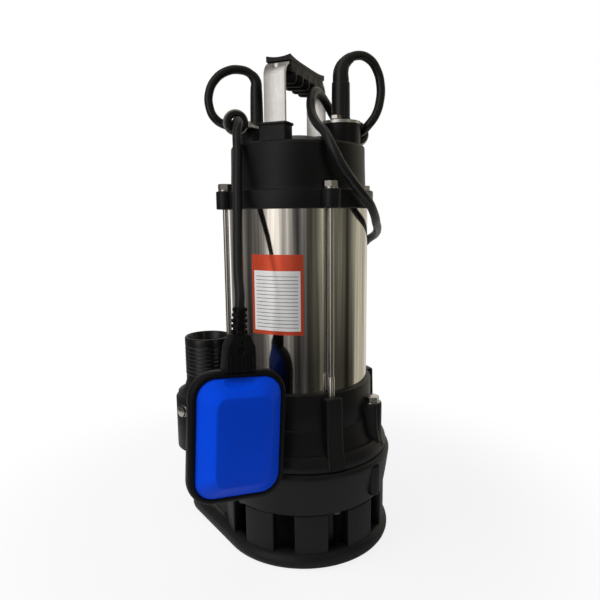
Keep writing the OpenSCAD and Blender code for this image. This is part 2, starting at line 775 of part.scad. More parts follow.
module oil_housing() {
  color(black_plastic) difference() {
    union() {
      rotate_extrude() housing_profile();
      translate([drum_shift, 0, 0]) rotate_extrude() housing_flange_profile();
      for (a = rod_angles) at_polar(rod_circle_r, a) {
        translate([0, 0, z_house + 3]) cylinder(r = rod_boss_r, h = housing_h - 5);
        translate([0, 0, z_house + 3]) cylinder(r1 = rod_boss_r + 4, r2 = rod_boss_r, h = 18);
      }
      for (a = bolt_angles) at_polar(bolt_circle_r, a) {
        translate([0, 0, z_house]) cylinder(r = bolt_boss_r, h = bolt_boss_h);
        translate([0, 0, z_house + 2]) cylinder(r1 = bolt_boss_r + 3, r2 = bolt_boss_r, h = 16);
      }
    }
    translate([0, 0, z_oil]) cylinder(r = oil_r, h = housing_h);
    translate([0, 0, z_spigot]) cylinder(r = bracket_spigot_r + slip, h = housing_h);
    translate([0, 0, z_seat]) cylinder(r = barrel_r + slip, h = housing_h);
    translate([0, 0, z_house - 1]) cylinder(d = seal_d - 6, h = back_wall + 2);
    translate([0, 0, z_house + seat_ledge]) cylinder(d = seal_d + 2 * eps, h = back_wall);
    for (a = bolt_angles) at_polar(bolt_circle_r, a) {
      translate([0, 0, z_house - 1]) cylinder(d = casing_bolt_d + 2 * hole_slack, h = bolt_boss_h + 2);
      translate([0, 0, z_house + bolt_boss_h])
        cylinder(r = bolt_head_af / sqrt(3) + hole_slack, h = bolt_head_h + 1);
    }
    outlet_room();
    for (a = rod_angles) at_polar(rod_circle_r, a)
      translate([0, 0, z_rod_low - 2]) cylinder(d = rod_d + 2 * eps, h = rod_grip + 5);
  }
}

module seal_seat() {
  color(steel) translate([0, 0, z_house + seat_ledge])
    ring(seal_d / 2, shaft_d / 2 + 1, back_wall - seat_ledge);
}

module seal_head() {
  color(dull_steel) translate([0, 0, z_oil + seal_gap]) difference() {
    union() {
      cylinder(d = seal_d - 3, h = seal_head_h * 0.3);
      cylinder(d = seal_d - 7, h = seal_head_h * 0.8);
      translate([0, 0, seal_head_h * 0.75]) cylinder(d = seal_d - 4, h = seal_head_h * 0.25);
    }
    translate([0, 0, -1]) cylinder(d = shaft_d + 2 * eps, h = seal_head_h + 2);
  }
}

module bearing_bracket() {
  color(dull_steel) difference() {
    union() {
      translate([0, 0, z_spigot]) cylinder(r = bracket_spigot_r, h = bracket_spigot + gasket_thk + eps);
      translate([0, 0, z_barrel]) cylinder(r = core_r, h = bracket_thk);
      translate([0, 0, z_bracket_top - eps])
        cylinder(r = lower_bearing_d / 2 + hub_wall, h = lower_bearing_w + eps);
      translate([0, 0, z_bracket_top - eps]) ring(core_r, stack_ir, z_stator - z_bracket_top + eps);
    }
    translate([0, 0, z_lower_bearing]) cylinder(d = lower_bearing_d + 2 * eps, h = lower_bearing_w + 1);
    translate([0, 0, z_spigot - 1]) cylinder(r = shaft_d / 2 + 5, h = 2 * bracket_spigot + bracket_thk);
    translate([0, 0, z_spigot - 1]) cylinder(d = lower_bearing_d - 10, h = lip_seal_h + 1);
  }
}

module shaft_lip_seal() {
  color(black_rubber) translate([0, 0, z_spigot])
    ring(lower_bearing_d / 2 - 5 - eps, shaft_d / 2 + running, lip_seal_h);
}

module upper_bracket() {
  color(dull_steel) difference() {
    union() {
      translate([0, 0, z_stator_top]) ring(core_r, stack_ir, z_upper_top - z_stator_top);
      translate([0, 0, z_upper_top - upper_disc]) cylinder(r = core_r, h = upper_disc);
      translate([0, 0, z_upper_bearing]) cylinder(r = upper_hub_r, h = z_upper_top - z_upper_bearing);
    }
    translate([0, 0, z_upper_bearing - 1]) cylinder(d = upper_bearing_d + 2 * eps, h = upper_bearing_w + 1);
    translate([0, 0, z_upper_bearing - 1]) cylinder(r = shaft_top_d / 2 + 4, h = upper_bearing_w + 3);
    for (s = [-1, 1]) translate([s * (upper_hub_r + 12), 0, z_upper_top - upper_disc - 1])
      cylinder(d = 10, h = upper_disc + 2);
  }
}

// Bearing race: its two rings share the ball groove
module race(id, od, w, inner) {
  pitch = (id + od) / 4;
  groove = (od - id) * 0.147 + running;
  half = (od - id) * 0.1;
  rotate_extrude() difference() {
    if (inner) translate([id / 2, 0]) square([pitch - half - id / 2, w]);
    else translate([pitch + half, 0]) square([od / 2 - pitch - half, w]);
    translate([pitch, w / 2]) circle(r = groove, $fn = 48);
  }
}

module race_balls(id, od, w) {
  pitch = (id + od) / 4;
  for (i = [0:7]) at_polar(pitch, i * 45) translate([0, 0, w / 2]) sphere(r = (od - id) * 0.147, $fn = 32);
}

module bearing_outer_rings() {
  color(steel) {
    translate([0, 0, z_lower_bearing]) race(shaft_d, lower_bearing_d, lower_bearing_w, false);
    translate([0, 0, z_upper_bearing]) race(shaft_top_d, upper_bearing_d, upper_bearing_w, false);
  }
}

module bearing_balls() {
  color(steel) {
    translate([0, 0, z_lower_bearing]) race_balls(shaft_d, lower_bearing_d, lower_bearing_w);
    translate([0, 0, z_upper_bearing]) race_balls(shaft_top_d, upper_bearing_d, upper_bearing_w);
  }
}

module bearing_inner_rings() {
  color(steel) {
    translate([0, 0, z_lower_bearing]) race(shaft_d, lower_bearing_d, lower_bearing_w, true);
    translate([0, 0, z_upper_bearing]) race(shaft_top_d, upper_bearing_d, upper_bearing_w, true);
  }
}

module barrel_gaskets() {
  color(black_rubber) {
    translate([0, 0, z_seat]) ring(barrel_r, bracket_spigot_r + slip, gasket_thk);
    translate([0, 0, z_barrel_top]) ring(barrel_r, core_r, gasket_thk);
  }
}

module motor_barrel() {
  color(steel) translate([0, 0, z_barrel]) ring(barrel_r, barrel_ir, z_barrel_top - z_barrel);
}

module stator_core() {
  color(dull_steel) translate([0, 0, z_stator]) ring(core_r, rotor_d / 2 + air_gap, stator_h);
}

module end_turn(h) {
  inner = rotor_d / 2 + 4;
  outer = stack_ir - 1;
  rotate_extrude()
    polygon([[inner, 0], [outer, 0], [outer, h - 3], [outer - 3, h], [inner + 3, h], [inner, h - 3]]);
}

module stator_windings() {
  color(copper) {
    translate([0, 0, z_stator_top]) end_turn(winding_h);
    translate([0, 0, z_stator]) mirror([0, 0, 1]) end_turn(winding_h);
  }
}

module motor_shaft() {
  z_top = z_upper_bearing + upper_bearing_w;
  color(steel) difference() {
    union() {
      translate([0, 0, z_nut]) cylinder(d = shaft_end_d, h = z_shoulder - z_nut + eps);
      translate([0, 0, z_shoulder]) cylinder(d = shaft_d, h = z_upper_bearing - z_shoulder);
      translate([0, 0, z_upper_bearing - eps]) cylinder(d = shaft_top_d, h = z_top - z_upper_bearing + eps);
    }
    keyway(eps);
  }
}

module rotor_core() {
  color(dull_steel) translate([0, 0, z_stator]) ring(rotor_d / 2, shaft_d / 2, stator_h);
}

module run_capacitor() {
  color([0.85, 0.85, 0.82]) translate([0, cavity_r - capacitor_d / 2 - 6, z_upper_top])
    cylinder(d = capacitor_d, h = capacitor_h);
}

module terminal_block() {
  color([0.9, 0.88, 0.8]) translate([-block_w / 2, -block_y - block_d / 2, z_upper_top])
    cube([block_w, block_d, block_h]);
}

module lead_wires() {
  z_in = z_plate - sleeve_root - plate_thk;
  z_block = z_upper_top + block_h;
  color(copper) for (s = [-1, 1], k = [-1, 1]) {
    x_end = s * (block_w / 3 - wire_apart * k);
    x_in = s * tower_x;
    y_in = k * wire_apart;
    z_bend = z_in - wire_drop;
    route = [[x_in, y_in, z_in], [x_in, y_in, z_bend],
             [x_in - 2 * s * wire_apart, y_in - 2 * wire_apart, z_bend - wire_apart - wire_d],
             [x_end, -block_y, z_block + 4 * wire_d], [x_end, -block_y, z_block]];
    tube(route, [for (p = route) wire_d / 2], coil_sides);
  }
}

// Outline of the head above its flange, with a rounded shoulder and a slightly domed top
module head_profile() {
  shoulder = [for (i = [0:5]) let (a = 18 * i)
    [head_r - head_round + head_round * cos(a), z_head - head_dome - head_round + head_round * sin(a)]];
  polygon(concat([[0, z_lug - 1], [head_r + 1, z_lug - 1], [head_r + 0.8, z_lug + 2]], shoulder,
                 [[head_r / 2, z_head - 0.4], [0, z_head]]));
}

module head_cavity() {
  translate([0, 0, z_upper_top - 1]) cylinder(r = stack_ir, h = z_lug - z_upper_top + 1);
  translate([0, 0, z_lug - eps]) cylinder(r = cavity_r, h = head_h - head_roof + eps);
}

module handle_bosses() {
  w = strap_w + 2 * boss_wall;
  d = strap_t + 4 * boss_wall;
  for (s = [-1, 1]) translate([-w / 2, s * leg_y - d / 2, z_head - boss_depth])
    cube([w, d, boss_depth + boss_h]);
}

module motor_head() {
  slot_w = strap_w + 2 * slip;
  slot_t = strap_t + 2 * slip;
  color(black_plastic) difference() {
    union() {
      translate([0, 0, z_upper_top]) cylinder(r = core_r - slip, h = z_lug - z_upper_top - 1);
      difference() {
        union() {
          translate([0, 0, z_flange]) cylinder(r = flange_r, h = flange_h);
          for (a = rod_angles) at_polar(rod_circle_r, a)
            translate([0, 0, z_flange]) cylinder(r = rod_lug_r, h = flange_h);
        }
        translate([0, 0, z_flange - 1]) ring(barrel_r + slip, core_r, barrel_seat + gasket_thk + 1);
      }
      rotate_extrude() head_profile();
      for (s = [-1, 1]) translate([s * tower_x, 0, z_lug]) cylinder(d = tower_d, h = z_gland - z_lug);
      handle_bosses();
    }
    head_cavity();
    for (a = rod_angles) at_polar(rod_circle_r, a)
      translate([0, 0, z_flange - 1]) cylinder(d = rod_d + 2 * hole_slack, h = flange_h + 2);
    translate([tower_x, 0, z_lug]) cylinder(d = power_sleeve_d + 2 * slip, h = z_gland);
    translate([-tower_x, 0, z_lug]) cylinder(d = float_sleeve_d + 2 * slip, h = z_gland);
    for (s = [-1, 1], k = [-1, 1]) translate([s * tower_x, k * gland_screw_r, z_gland - 14])
      cylinder(d = gland_screw_d + 2 * eps, h = 20);
    for (s = [-1, 1]) translate([-slot_w / 2, s * leg_y - slot_t / 2, z_head - boss_depth + 4])
      cube([slot_w, slot_t, boss_depth + boss_h]);
  }
}

module tie_rods() {
  color(steel) for (a = rod_angles) at_polar(rod_circle_r, a)
    translate([0, 0, z_rod_low]) cylinder(d = rod_d, h = z_rod_high - z_rod_low);
}

module tie_rod_washers() {
  color(steel) for (a = rod_angles) at_polar(rod_circle_r, a)
    translate([0, 0, z_lug]) ring(rod_d, rod_r + slip, washer_t);
}

module tie_rod_nuts() {
  color(steel) for (a = rod_angles) at_polar(rod_circle_r, a) translate([0, 0, z_lug + washer_t])
    difference() {
      hex_prism(nut_af + rod_d - 6, nut_h);
      translate([0, 0, -1]) cylinder(d = rod_d + 2 * eps, h = nut_h + 2);
    }
}

// Arch of the strap, grown outward from its middle line
module strap_arch(grow, z_foot) {
  bend = strap_bend + grow;
  half = leg_y + grow;
  top = z_bar + grow;
  translate([-half, z_foot]) square([2 * half, top - bend - z_foot]);
  translate([-half + bend, z_foot]) square([2 * (half - bend), top - z_foot - side_inset / 4]);
  for (s = [-1, 1]) translate([s * (half - bend), top - bend]) circle(r = bend);
}

module handle_strap() {
  z_foot = z_head - boss_depth + 4;
  color(steel) difference() {
    rotate([90, 0, 90]) translate([0, 0, -strap_w / 2]) linear_extrude(height = strap_w) difference() {
      strap_arch(strap_t / 2, z_foot);
      strap_arch(-strap_t / 2, z_foot - 1);
    }
    for (s = [-1, 1]) translate([-strap_w / 8, s * leg_y - strap_t, z_bar - strap_bend - 3])
      cube([strap_w / 4, 2 * strap_t, 2.5]);
  }
}

module handle_grip() {
  slot_w = strap_w + 2 * slip;
  slot_t = strap_t + 2 * slip;
  rib_step = grip_len / grip_ribs;
  z_strap = z_bar + strap_t / 2;
  z_top = z_strap + grip_over;
  z_low = z_bar - grip_round;
  color(black_plastic) difference() {
    union() {
      translate([-grip_w / 2, -grip_len / 2, z_low]) cube([grip_w, grip_len, z_top - z_low]);
      for (s = [-1, 1])
        translate([-grip_w / 2, s * (grip_len / 2 + grip_end_lap) - grip_end_len / 2, z_strap + slip])
          cube([grip_w, grip_end_len, grip_over - slip + 1]);
      for (i = [0:grip_ribs - 1])
        translate([-grip_w / 2, (i - (grip_ribs - 1) / 2) * rib_step, z_low]) rotate([0, 90, 0])
          cylinder(d = rib_step * 0.86, h = grip_w);
    }
    translate([-slot_w / 2, -grip_len, z_bar - slot_t / 2]) cube([slot_w, 2 * grip_len, slot_t]);
  }
}

// Gland plate with a tab that carries the cable's eye, in the float gland's place
module gland_plate(hole_d, lift) {
  ring_z = lift - plate_thk / 2;
  side = [eye_side[0] + eye_hole_r * cos(eye_angle + 90), eye_side[1] + eye_hole_r * sin(eye_angle + 90)];
  tab_w = 9;
  difference() {
    union() {
      translate([0, 0, -plate_thk]) cylinder(d = tower_d, h = plate_thk);
      translate([side[0] - tab_w / 2 + 3, side[1], -plate_thk]) cube([tab_w, -side[1], plate_thk]);
      translate([side[0] - 1.5, side[1] - 1, min(-plate_thk, ring_z)])
        cube([7, plate_thk, abs(lift) + plate_thk]);
      translate([eye_side[0], eye_side[1], ring_z]) rotate(eye_angle) rotate([0, 90, 0])
        translate([0, 0, -plate_thk / 2]) cylinder(r = eye_ring_r, h = plate_thk);
    }
    translate([eye_side[0], eye_side[1], ring_z]) rotate(eye_angle) rotate([0, 90, 0])
      translate([0, 0, -2 * plate_thk]) cylinder(r = eye_hole_r, h = 4 * plate_thk);
    translate([eye_side[0], eye_side[1], ring_z]) rotate(eye_angle) rotate([0, 90, 0])
      for (m = [0, 1]) mirror([0, 0, m]) translate([0, 0, plate_thk / 2])
        cylinder(d = grommet_d + 2 * slip, h = grommet_w / 2);
    translate([0, 0, -plate_thk - 1]) cylinder(d = hole_d, h = plate_thk + 2);
    for (k = [-1, 1]) translate([0, k * gland_screw_r, -plate_thk - 1])
      cylinder(d = gland_screw_d + 2 * slip, h = plate_thk + 2);
  }
}

module power_gland_plate() {
  color(steel) translate([tower_x, 0, z_plate]) rotate(180)
    gland_plate(power_sleeve_d + 2 * slip, eye_lift_power);
}

module float_gland_plate() {
  color(steel) translate([-tower_x, 0, z_plate]) gland_plate(float_sleeve_d + 2 * slip, eye_lift_float);
}

module gland_screws() {
  color(steel) for (s = [-1, 1], k = [-1, 1]) translate([s * tower_x, k * gland_screw_r, z_plate])
    hex_screw(gland_screw_d, 1.6 * gland_screw_d, 0.7 * gland_screw_d, plate_thk + gland_thread_len);
}

module sleeve(d) {
  translate([0, 0, -sleeve_root - plate_thk])
    cylinder(d = d, h = sleeve_root + plate_thk + sleeve_h - sleeve_taper);
  translate([0, 0, sleeve_h - sleeve_taper - eps])
    cylinder(d1 = d, d2 = cord_d + 2, h = sleeve_taper + eps);
}

module power_cable_sleeve() {
  color(black_rubber) translate([tower_x, 0, z_plate]) sleeve(power_sleeve_d);
}

module float_cable_sleeve() {
  color(black_rubber) translate([-tower_x, 0, z_plate]) sleeve(float_sleeve_d);
}

module grommet() {
  rotate(eye_angle) rotate([0, 90, 0]) translate([0, 0, -grommet_w / 2]) rotate_extrude()
    polygon([[cord_r + 0.6, 0], [grommet_d / 2 - 1.5, 0], [grommet_d / 2, 1.5],
             [grommet_d / 2, (grommet_w - plate_thk) / 2 - slip],
             [eye_hole_r - slip, (grommet_w - plate_thk) / 2 - slip],
             [eye_hole_r - slip, (grommet_w + plate_thk) / 2 + slip],
             [grommet_d / 2, (grommet_w + plate_thk) / 2 + slip],
             [grommet_d / 2, grommet_w - 1.5], [grommet_d / 2 - 1.5, grommet_w],
             [cord_r + 0.6, grommet_w]]);
}

module power_cable_grommet() {
  color(black_rubber) translate(power_eye) grommet();
}

module float_cable_grommet() {
  color(black_rubber) translate(float_eye) grommet();
}

module power_cable() {
  color(black_rubber) tube(power_route, even_radii(power_route), cord_sides);
}

module power_cable_coil() {
  color(black_rubber) tube(coil_route, even_radii(coil_route), coil_sides);
}

// Band round the coil's bundle, on the side away from the cord's ends
module coil_tie() {
  low = coil_lift - tie_t - 0.2;
  high = z_coil_top + cord_r + 0.4;
  inner = coil_inner_r - coil_pitch / 4 - cord_r - 0.5;
  outer = coil_r + coil_pitch / 4 + cord_r + 0.5;
  color([0.12, 0.12, 0.12]) translate(coil_at) rotate(90) translate([0, tie_w / 2, 0]) rotate([90, 0, 0])
    linear_extrude(height = tie_w) difference() {
      translate([inner - tie_t, low]) square([outer - inner + 2 * tie_t, high - low + tie_t]);
      translate([inner, low + tie_t]) square([outer - inner, high - low - tie_t]);
    }
}

module plug_lead() {
  color(black_rubber) tube(plug_lead_route, even_radii(plug_lead_route), cord_sides);
}

module power_plug() {
  color(black_rubber) translate(plug_at) rotate([0, -90, 0]) rotate_extrude()
    polygon([[0, plug_root - plug_tail], [cord_r + 1.5, plug_root - plug_tail], [cord_r + 3, 8],
             [plug_d / 2 - 3, 14], [plug_d / 2, 19], [plug_d / 2, plug_len - 2],
             [plug_d / 2 - 2, plug_len], [0, plug_len]]);
}

module plug_pins() {
  color([0.8, 0.68, 0.35]) translate(plug_at + [-plug_len, 0, 0]) {
    for (s = [-1, 1]) translate([-17, s * 6.35 - 0.75, -1]) cube([17, 1.5, 6.3]);
    translate([-19, 0, -7]) rotate([0, 90, 0]) cylinder(d = 4.8, h = 19);
  }
}

module float_cable_loop() {
  color(black_rubber) tube(float_loop_route, even_radii(float_loop_route), cord_sides);
}

// The swinging stretch starts as a round end at its pivot
module float_cable_drop() {
  first = unit(drop_route[1] - drop_route[0]);
  round_end = [for (a = [-75, -50, -25]) float_pivot + first * cord_r * sin(a)];
  round_radii = [for (a = [-75, -50, -25]) cord_r * cos(a)];
  color(black_rubber)
    tube(concat(round_end, drop_route), concat(round_radii, even_radii(drop_route)), cord_sides);
}

module in_float() {
  translate(float_at) rotate(float_turn) children();
}

module round_rect(w, h, r) {
  for (s = [-1, 1], k = [-1, 1]) translate([s * (w / 2 - r), k * (h / 2 - r)]) circle(r = r, $fn = 32);
  square([w - 2 * r, h], center = true);
  square([w, h - 2 * r], center = true);
}

// Slab standing in the float's XZ plane, from y0 forward to -Y
module float_slab(w, h, r, y0, t) {
  rotate([90, 0, 0]) translate([0, 0, -y0]) linear_extrude(height = t) round_rect(w, h, r);
}

// Dished shell from the rim to its flat panel, on the -Y side
module float_dish(shrink, drop) {
  hull() {
    float_slab(float_w - 2 * face_inset - shrink, float_h - 2 * face_inset - shrink,
               float_corner - face_inset, -float_rim_t / 2 + 1, 1);
    float_slab(float_w - 2 * panel_inset - shrink, float_h - 2 * panel_inset - shrink, panel_corner,
               -float_t / 2 + 0.5 + drop, 0.5);
  }
}

module float_shell() {
  difference() {
    union() {
      float_dish(0, 0);
      float_slab(float_w - 2 * face_inset, float_h - 2 * face_inset, float_corner - face_inset,
                 0, float_rim_t / 2);
    }
    float_dish(2 * float_wall, float_wall);
    float_slab(float_w - 2 * face_inset - 2 * float_wall, float_h - 2 * face_inset - 2 * float_wall,
               float_corner - face_inset - float_wall, 1, float_rim_t / 2 + 1);
  }
}

module float_front_shell() {
  color(float_blue) in_float() float_shell();
}

module float_back_shell() {
  color(float_blue) in_float() mirror([0, 1, 0]) float_shell();
}

module float_rim() {
  color(black_plastic) in_float() difference() {
    float_slab(float_w, float_h, float_corner, float_rim_t / 2, float_rim_t);
    float_slab(float_w - 2 * face_inset, float_h - 2 * face_inset, float_corner - face_inset,
               float_rim_t, 2 * float_rim_t);
  }
}

module float_boot() {
  z0 = float_h / 2;
  z1 = z0 + boot_h;
  ring_step = relief_h / relief_rings;
  color(black_rubber) in_float() {
    rotate([90, 0, 0]) translate([0, 0, -boot_t / 2]) linear_extrude(height = boot_t)
      polygon([[-boot_w / 2, z0], [boot_w / 2, z0], [boot_w / 2 - 1, z0 + boot_h * 0.55],
               [boot_top_w / 2, z1 - 4], [boot_top_w / 2 - 4, z1], [4 - boot_top_w / 2, z1],
               [-boot_top_w / 2, z1 - 4], [1 - boot_w / 2, z0 + boot_h * 0.55]]);
    translate([0, 0, z1 - eps]) cylinder(r = relief_r - 1.5, h = relief_h + eps);
    for (i = [0:relief_rings - 1]) translate([0, 0, z1 + i * ring_step + 1])
      cylinder(r = relief_r - 0.15 * i, h = ring_step * 0.55);
  }
}

module microswitch() {
  cage_top = z_ball + ball_travel + ball_d / 2 + 3;
  color([0.15, 0.15, 0.16]) in_float() translate([-14, -8, cage_top]) cube([28, 16, 12]);
}

// Tube that guides the ball, open at the switch end and stood off the shells by two ribs
module ball_cage() {
  r = ball_d / 2 + 0.3 + cage_wall;
  z0 = z_ball - ball_d / 2 - 0.3 - cage_wall;
  top = z_ball + ball_travel + ball_d / 2 + 3;
  reach = float_t - 2 * float_wall - 2 * slip;
  color([0.9, 0.9, 0.88]) in_float() difference() {
    union() {
      translate([0, 0, z0]) cylinder(r = r, h = top - z0);
      translate([-1, -reach / 2, z0 + 2]) cube([2, reach, top - z0 - 4]);
    }
    translate([0, 0, z_ball - ball_d / 2 - 0.3]) cylinder(r = ball_d / 2 + 0.3, h = top - z0);
  }
}

module switch_ball() {
  color(steel) in_float() translate([0, 0, z_ball]) sphere(d = ball_d);
}

foot_plate();
strainer_screws();
suction_cover();
cover_screws();
volute_casing();
casing_gasket();
casing_bolts();
hose_tail();
hose_tail_seal();
outlet_lock_screw();
impeller();
impeller_key();
impeller_nut();
oil_housing();
seal_seat();
seal_head();
shaft_lip_seal();
bearing_bracket();
upper_bracket();
bearing_outer_rings();
bearing_balls();
bearing_inner_rings();
barrel_gaskets();
motor_barrel();
stator_core();
stator_windings();
motor_shaft();
rotor_core();
run_capacitor();
terminal_block();
lead_wires();
motor_head();
tie_rods();
tie_rod_washers();
tie_rod_nuts();
handle_strap();
handle_grip();
power_gland_plate();
float_gland_plate();
gland_screws();
power_cable_sleeve();
float_cable_sleeve();
power_cable_grommet();
float_cable_grommet();
power_cable();
power_cable_coil();
coil_tie();
plug_lead();
power_plug();
plug_pins();
float_cable_loop();
float_cable_drop();
float_front_shell();
float_back_shell();
float_rim();
float_boot();
microswitch();
ball_cage();
switch_ball();
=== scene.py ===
"""Looks of a submersible drainage pump with a float switch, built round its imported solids.

Sizes in the classes are millimetres. Every finished mesh is in metres, in the part's own frame.
"""

import json
import logging
import math
from dataclasses import dataclass, replace
from enum import Enum
from typing import Iterable, Sequence

import bmesh
import bpy
from mathutils import Euler, Matrix, Vector


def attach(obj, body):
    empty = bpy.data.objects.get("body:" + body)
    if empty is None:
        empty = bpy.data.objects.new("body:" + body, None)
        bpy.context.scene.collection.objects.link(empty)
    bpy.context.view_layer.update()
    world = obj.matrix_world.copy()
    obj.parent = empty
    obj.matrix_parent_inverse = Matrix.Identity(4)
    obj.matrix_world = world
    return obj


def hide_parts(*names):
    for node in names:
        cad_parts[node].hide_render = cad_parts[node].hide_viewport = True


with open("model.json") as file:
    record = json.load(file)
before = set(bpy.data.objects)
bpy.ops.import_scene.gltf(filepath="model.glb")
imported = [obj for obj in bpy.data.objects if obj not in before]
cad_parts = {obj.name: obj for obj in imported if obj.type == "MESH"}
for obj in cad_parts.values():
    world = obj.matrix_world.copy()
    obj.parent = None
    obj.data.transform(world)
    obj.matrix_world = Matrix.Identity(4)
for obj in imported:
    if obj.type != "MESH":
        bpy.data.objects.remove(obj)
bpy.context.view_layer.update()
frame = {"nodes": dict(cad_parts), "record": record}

LOG = logging.getLogger("pump")

MM = 0.001
MERGE = 1e-6  # points this close, in metres, become one
SLIVER = 2e-6  # faces this thin, in metres, go after a cut
ON_AXIS = 1e-7  # a point this near a lathe's axis, in metres, is on it

SIDES = (1, -1)  # both sides of a pair
QUARTERS = (45, 135, 225, 315)  # angles of the rods and of what holds them
ROD_CIRCLE = 71.0  # radius of the circle that the rods stand on
DRUM = (3.0, 0.0)  # axis of the pump chamber, a little off the shaft
BOLTS = ((73.0, 0.0), (0.0, 73.0), (0.0, -73.0))  # axes of the casing bolts
OUTLET = 105.0  # distance of the outlet from the shaft
ELBOW_Z = 72.0  # height of the elbow's level run
SOCKET_R = 35.5  # outer radius of the outlet socket
GLAND = (42.0, 12.9)  # distance of a gland from the shaft, and of its screws from the middle
LEG = 49.0  # distance of the handle's legs from the middle

Point = Sequence[float]
Outline = list[tuple[float, float]]
Colour = tuple[float, float, float]
Piece = bpy.types.Object


class Body(Enum):
    """The frame's bodies that new pieces ride on."""

    PUMP = "pump"
    FLOAT = "float"


class Cut(Enum):
    """Ways of combining two closed pieces."""

    ADD = "UNION"
    TAKE = "DIFFERENCE"
    SHARE = "INTERSECT"


def polar(radius: float, degrees: float, centre: Point = (0.0, 0.0)) -> tuple[float, float]:
    """A point at a radius and an angle from a centre."""
    a = math.radians(degrees)
    return centre[0] + radius * math.cos(a), centre[1] + radius * math.sin(a)


def arc(radius: float, start: float, stop: float, count: int, centre: Point = (0.0, 0.0)) -> Outline:
    """Evenly spaced points on an arc.

    Args:
        radius: radius of the arc.
        start: first angle, in degrees.
        stop: last angle, in degrees.
        count: number of points.
        centre: centre of the arc.

    Returns:
        The points, both ends included.
    """
    return [polar(radius, start + (stop - start) * i / (count - 1), centre) for i in range(count)]


def round_rect(width: float, height: float, corner: float, per_corner: int = 10) -> Outline:
    """Outline of a rectangle with round corners, about its centre.

    Args:
        width: size along the first axis.
        height: size along the second axis.
        corner: radius of its corners.
        per_corner: points on each corner.

    Returns:
        The outline, counter-clockwise.
    """
    w, h = width / 2 - corner, height / 2 - corner
    places = ((w, h, 0), (-w, h, 90), (-w, -h, 180), (w, -h, 270))
    return [p for x, y, a in places for p in arc(corner, a, a + 90, per_corner, (x, y))]


def hoop(x: float, radius: float, z: float, count: int = 64) -> list[Point]:
    """Points on a circle that stands across the X axis.

    Args:
        x: where it stands.
        radius: its radius.
        z: height of its middle.
        count: number of points.

    Returns:
        The points, in order.
    """
    angles = (math.tau * k / count for k in range(count))
    return [(x, radius * math.cos(t), z + radius * math.sin(t)) for t in angles]


def turned(degrees: float, axis: str = "Z") -> Matrix:
    """A turn about an axis through the origin."""
    return Matrix.Rotation(math.radians(degrees), 4, axis)


def moved(x: float, y: float, z: float) -> Matrix:
    """A move, given in millimetres."""
    return Matrix.Translation(Vector((x, y, z)) * MM)


